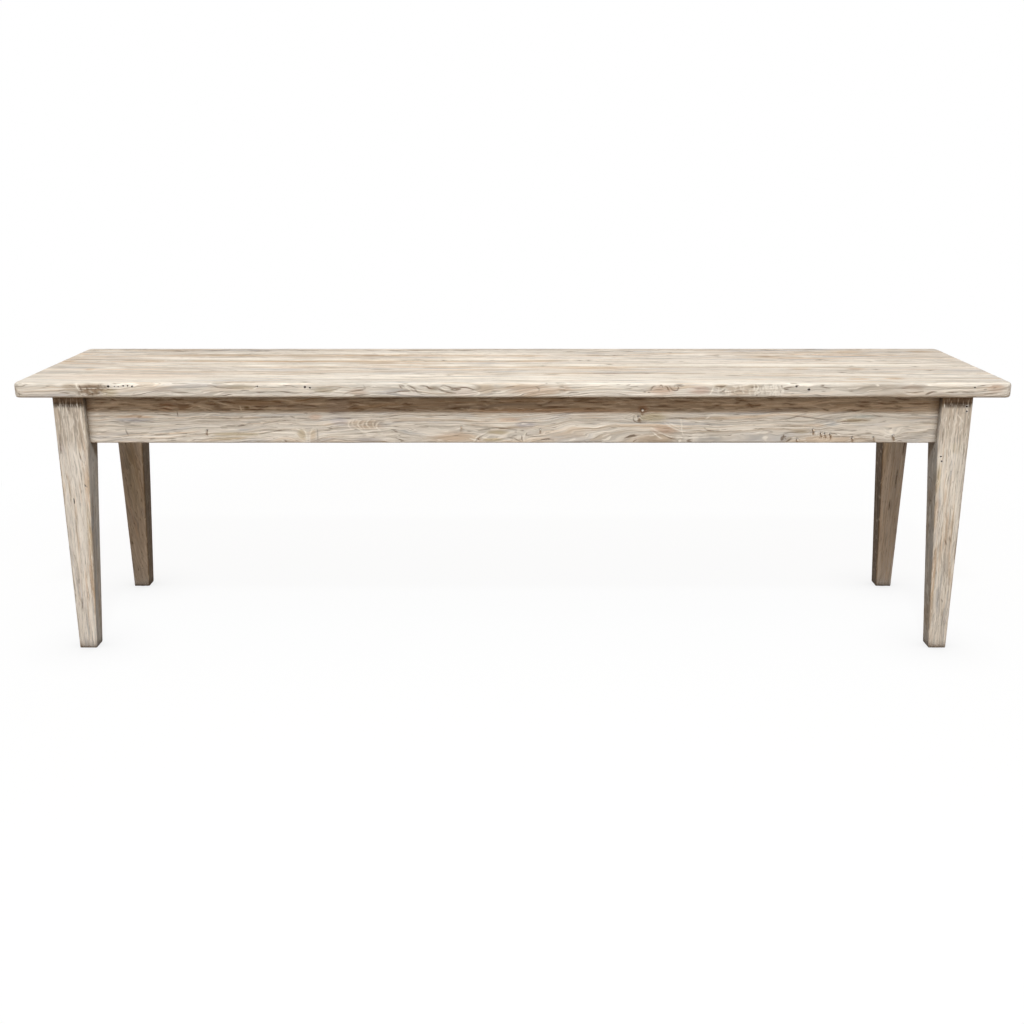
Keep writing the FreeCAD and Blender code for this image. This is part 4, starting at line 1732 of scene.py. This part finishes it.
    def leg_flaws(self) -> dict[str, tuple[Flaw, ...]]:
        """Places worm holes and a slit in the two front legs.

        Returns:
            Corner of the bench to the holes in its leg.
        """
        return {
            "front_left": (
                Flaw((-725.0, self.leg_face, 263.0), 10.0, 1.8, slant=88.0),
                Flaw((-704.0, self.leg_face, 289.0), 2.6, 2.2),
            ),
            "front_right": worm_holes(self.leg_face, {
                3.8: ((733, 422),), 3.2: ((734, 414),), 3.0: ((700, 339),), 3.4: ((702, 331),),
            }),
        }

    def build_legs(self) -> None:
        """Builds the four legs, each with its own tone."""
        tones = {
            "front_left": dict(spring="#f4eee5", summer="#af9b82"),
            "front_right": dict(spring="#eee7dc", summer="#af9b82"),
            "back_left": dict(spring="#f5efe6", summer="#c6bbac", warm=0.35),
            "back_right": dict(spring="#fffdf9", summer="#ddd5c9", warm=0.2, cool=0.2, lime=1.0),
        }
        for number, (corner, tone) in enumerate(tones.items()):
            wood = f"Limed pine, {corner.replace('_', ' ')} leg"
            finish = LimedPine(
                wood, 13.0 + 1.3 * number, Grain.ALONG_Z, pith=(260.0, -500.0), ring_width=4.5, wander=9.0,
                ripple=2.5, quiver=1.2, stretch=0.6, contrast=0.55, checks=0.4, edge_wear_and_highlight_tone="#cdb08a",
                edge_wear_and_highlight_share=0.3, **tone,
            )
            flaws = self.leg_flaws().get(corner, ())
            Leg(f"leg_{corner}", finish, self.leg_figures()[corner], flaws).build()

    def build(self) -> None:
        """Builds the rails, then the legs."""
        self.build_rails()
        self.build_legs()


@dataclass
class Fittings:
    """The pieces under the seat and feet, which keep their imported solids."""

    def finishes(self) -> dict[str, PlainFinish]:
        """Chooses the finishes.

        Returns:
            The start of a node's name to the finish of the piece.
        """
        # Planing leaves pine smooth, so the eye sees the straw and amber stripes of its rings.
        pine = PlainFinish(
            "Bare pine, planed", "#d8b98c", "#b58a58", (240.0, 4.5, 4.5), Grain.ALONG_Y, shows=(0.35, 0.7),
            rough=(0.7, 0.7), relief=0.3, depth=0.3, sheen=0.35,
        )
        # Beech has hardly any rings to see: an even, pinkish tone and short flecks tell it from pine.
        beech = PlainFinish(
            "Beech, machined", "#d9b48d", "#b98d63", (3.0, 0.5, 0.5), detail=1.0, shows=(0.58, 0.7),
            rough=(0.55, 0.55), relief=0.2, depth=0.15, sheen=0.4,
        )
        # Zinc crystals and passivation cloud the metal, so it glints in patches and never like a mirror.
        zinc = PlainFinish(
            "Zinc-plated steel", "#c9cbcc", "#9da0a2", (3.0, 3.0, 3.0), rough=(0.28, 0.45), metallic=1.0
        )
        # The mould leaves nylon waxy and dull, and sliding on floors scuffs it in small pale marks.
        nylon = PlainFinish(
            "Nylon, moulded brown", "#4a4038", "#7a6d60", (1.5, 1.5, 1.5), detail=4.0, shows=(0.55, 0.75),
            most=0.7, relief=0.25, ior=1.53,
        )
        return {
            "cross_rail": pine,
            "corner_brace": replace(pine, name="Bare pine, planed brace", grain=Grain.ALONG_X),
            "seat_button": beech,
            "seat_tongue": replace(beech, name="Beech, planed tongue"),
            "button_screw": zinc,
            "foot_glide": nylon,
        }

    def build(self) -> None:
        """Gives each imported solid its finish."""
        for family, finish in self.finishes().items():
            material = finish.material()
            for name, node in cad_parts.items():
                if name.startswith(family):
                    node.data.materials.clear()
                    node.data.materials.append(material)
                    LOG.info("%s: %s", name, material.name)


@dataclass(frozen=True)
class Lamp:
    """Round lamp aimed at the seat.

    Attributes:
        name: what it does.
        place: where it hangs.
        size: its diameter.
        power: its power in watts.
        colour: its colour.
    """

    name: str
    place: tuple[float, float, float]
    size: float
    power: float
    colour: str = "#ffffff"

    def build(self) -> None:
        """Hangs the lamp, out of the eye's sight."""
        deselect_all()
        bpy.ops.object.light_add(type="AREA", location=self.place)
        lamp = bpy.context.object
        lamp.name = self.name
        lamp.visible_camera = False
        lamp.data.shape = "DISK"
        lamp.data.size = self.size
        lamp.data.energy = self.power
        lamp.data.color = linear(self.colour)[:3]
        aim = Vector((0.0, 0.0, 0.4)) - Vector(self.place)
        lamp.rotation_euler = aim.to_track_quat("-Z", "Y").to_euler()


@dataclass
class Studio:
    """White paper floor, lamps above the camera, boards all round, a warm dome of fill, and the camera.

    Attributes:
        camera_place: the camera, in front of the seat at a standing child's eye height.
        pitch_down: the camera's tilt, in degrees.
        focal: focal length on a 36 mm sensor.
        lamps: the lamps.
        fill: the dome's colour as linear light.
        bounce: the floor's colour to the light that it throws back.
        shadow_share: how much of the object's shadow the floor shows.
        shadow_reach: how far from the middle the floor shows it, start and end of the fade.
        contact_reach: how far from a foot the floor's glow is dimmed, as painted contact shade.
    """

    camera_place: tuple[float, float, float] = (-0.0013, -2.0424, 0.8038)
    pitch_down: float = 16.618
    focal: float = 41.49
    lamps: tuple[Lamp, ...] = (
        Lamp("key_lamp", (0.0, -2.5, 3.3), 0.32, 89.0, "#f1faff"),
        Lamp("soft_box", (0.0, -1.8, 3.4), 2.4, 49.0, "#f1faff"),
        Lamp("ceiling", (0.0, 0.3, 3.6), 2.4, 25.0, "#ffe2c6"),
        Lamp("front_board", (-0.1, -6.0, 1.0), 2.3, 97.0, "#ffe1c3"),
        Lamp("left_board", (-1.25, 0.15, 0.45), 0.6, 0.55, "#ffeedd"),
        Lamp("right_board", (1.25, 0.15, 0.45), 0.6, 0.55, "#ffeedd"),
        Lamp("back_board", (0.0, 6.0, 0.9), 2.4, 75.0, "#ffeedd"),
    )
    fill: tuple[float, float, float] = (0.1, 0.071, 0.05)
    bounce: tuple[float, float, float] = (0.06, 0.045, 0.034)
    shadow_share: float = 0.05
    shadow_reach: tuple[float, float] = (0.9, 1.6)
    contact_reach: float = 0.12

    def build(self) -> None:
        """Sets up floor, light and camera."""
        scene = bpy.context.scene
        scene.view_settings.view_transform = "Standard"
        self.floor()
        self.world()
        for lamp in self.lamps:
            lamp.build()
        deselect_all()
        bpy.ops.object.camera_add(
            location=self.camera_place, rotation=(math.radians(90 - self.pitch_down), 0.0, 0.0)
        )
        camera = bpy.context.object
        camera.data.lens = self.focal
        camera.data.sensor_width = 36.0
        scene.camera = camera

    def seen(self, tree: bpy.types.NodeTree) -> Socket:
        """Tells the rays that the eye sees from those that light the bench.

        Args:
            tree: the nodes of the floor or of the world.

        Returns:
            1 for camera, glossy and transmission rays, otherwise 0.
        """
        total: object = 0.0
        for ray in ("Is Camera Ray", "Is Glossy Ray", "Is Transmission Ray"):
            path = add_node(tree, "ShaderNodeLightPath", out=ray)
            total = add_node(tree, "ShaderNodeMath", {0: total, 1: path}, operation="ADD", use_clamp=True)
        return total

    def floor(self) -> None:
        """Lays the paper floor, white to the eye, with a faint shadow near the bench."""
        deselect_all()
        bpy.ops.mesh.primitive_plane_add(size=30.0)
        floor = bpy.context.object
        floor.name = "paper_floor"
        #         Matt paper that glows white to the eye, with no edge or texture: near the bench it shows a
        #         faint share of its real shadow, and its glow is dimmed round the feet as painted contact
        #         shade.
        material, tree = new_material("Studio paper, matt white")
        place = add_node(tree, "ShaderNodeTexCoord", out="Object")
        distance = add_node(tree, "ShaderNodeVectorMath", {0: place}, "Value", operation="LENGTH")
        share = add_node(tree, "ShaderNodeMapRange", {
            "Value": distance, "From Min": self.shadow_reach[0], "From Max": self.shadow_reach[1],
            "To Min": self.shadow_share, "To Max": 0.0,
        }, interpolation_type="SMOOTHSTEP")
        # Painted contact shade: the floor's white glow dims where ambient occlusion finds a foot near.
        contact = add_node(
            tree, "ShaderNodeAmbientOcclusion", {"Distance": self.contact_reach}, "AO", samples=8
        )
        painted_contact_shade = add_node(tree, "ShaderNodeMapRange", {
            "Value": contact, "From Min": 0.4, "From Max": 1.0, "To Min": 0.86, "To Max": 1.0,
        })
        glow = add_node(tree, "ShaderNodeEmission", {"Strength": painted_contact_shade})
        shade = add_node(tree, "ShaderNodeBsdfDiffuse", {"Color": (1.0, 1.0, 1.0, 1.0)})
        paper = add_node(tree, "ShaderNodeMixShader", {0: share, 1: glow, 2: shade})
        bounce = add_node(tree, "ShaderNodeBsdfDiffuse", {"Color": (*self.bounce, 1.0)})
        above = add_node(tree, "ShaderNodeMixShader", {0: self.seen(tree), 1: bounce, 2: paper})
        below = add_node(tree, "ShaderNodeBsdfTransparent")
        back = add_node(tree, "ShaderNodeNewGeometry", out="Backfacing")
        sheet = add_node(tree, "ShaderNodeMixShader", {0: back, 1: above, 2: below})
        add_node(tree, "ShaderNodeOutputMaterial", {"Surface": sheet})
        floor.data.materials.append(material)

    def world(self) -> None:
        """Lights the room with a warm, even dome that looks white."""
        world = bpy.data.worlds.new("studio_dome")
        bpy.context.scene.world = world
        world.use_nodes = True
        tree = world.node_tree
        tree.nodes.clear()
        fill = add_node(tree, "ShaderNodeBackground", {"Color": (*self.fill, 1.0), "Strength": 1.0})
        white = add_node(tree, "ShaderNodeBackground", {"Color": (1.0, 1.0, 1.0, 1.0), "Strength": 1.0})
        both = add_node(tree, "ShaderNodeMixShader", {0: self.seen(tree), 1: fill, 2: white})
        add_node(tree, "ShaderNodeOutputWorld", {"Surface": both})


def main() -> None:
    """Builds the bench piece by piece, then the studio."""
    logging.basicConfig(level=logging.INFO, format="%(name)s: %(message)s")
    for part in (Seat(), Frame(), Fittings(), Studio()):
        part.build()
        LOG.info("%s done", type(part).__name__)


if __name__ == "__main__":
    main()
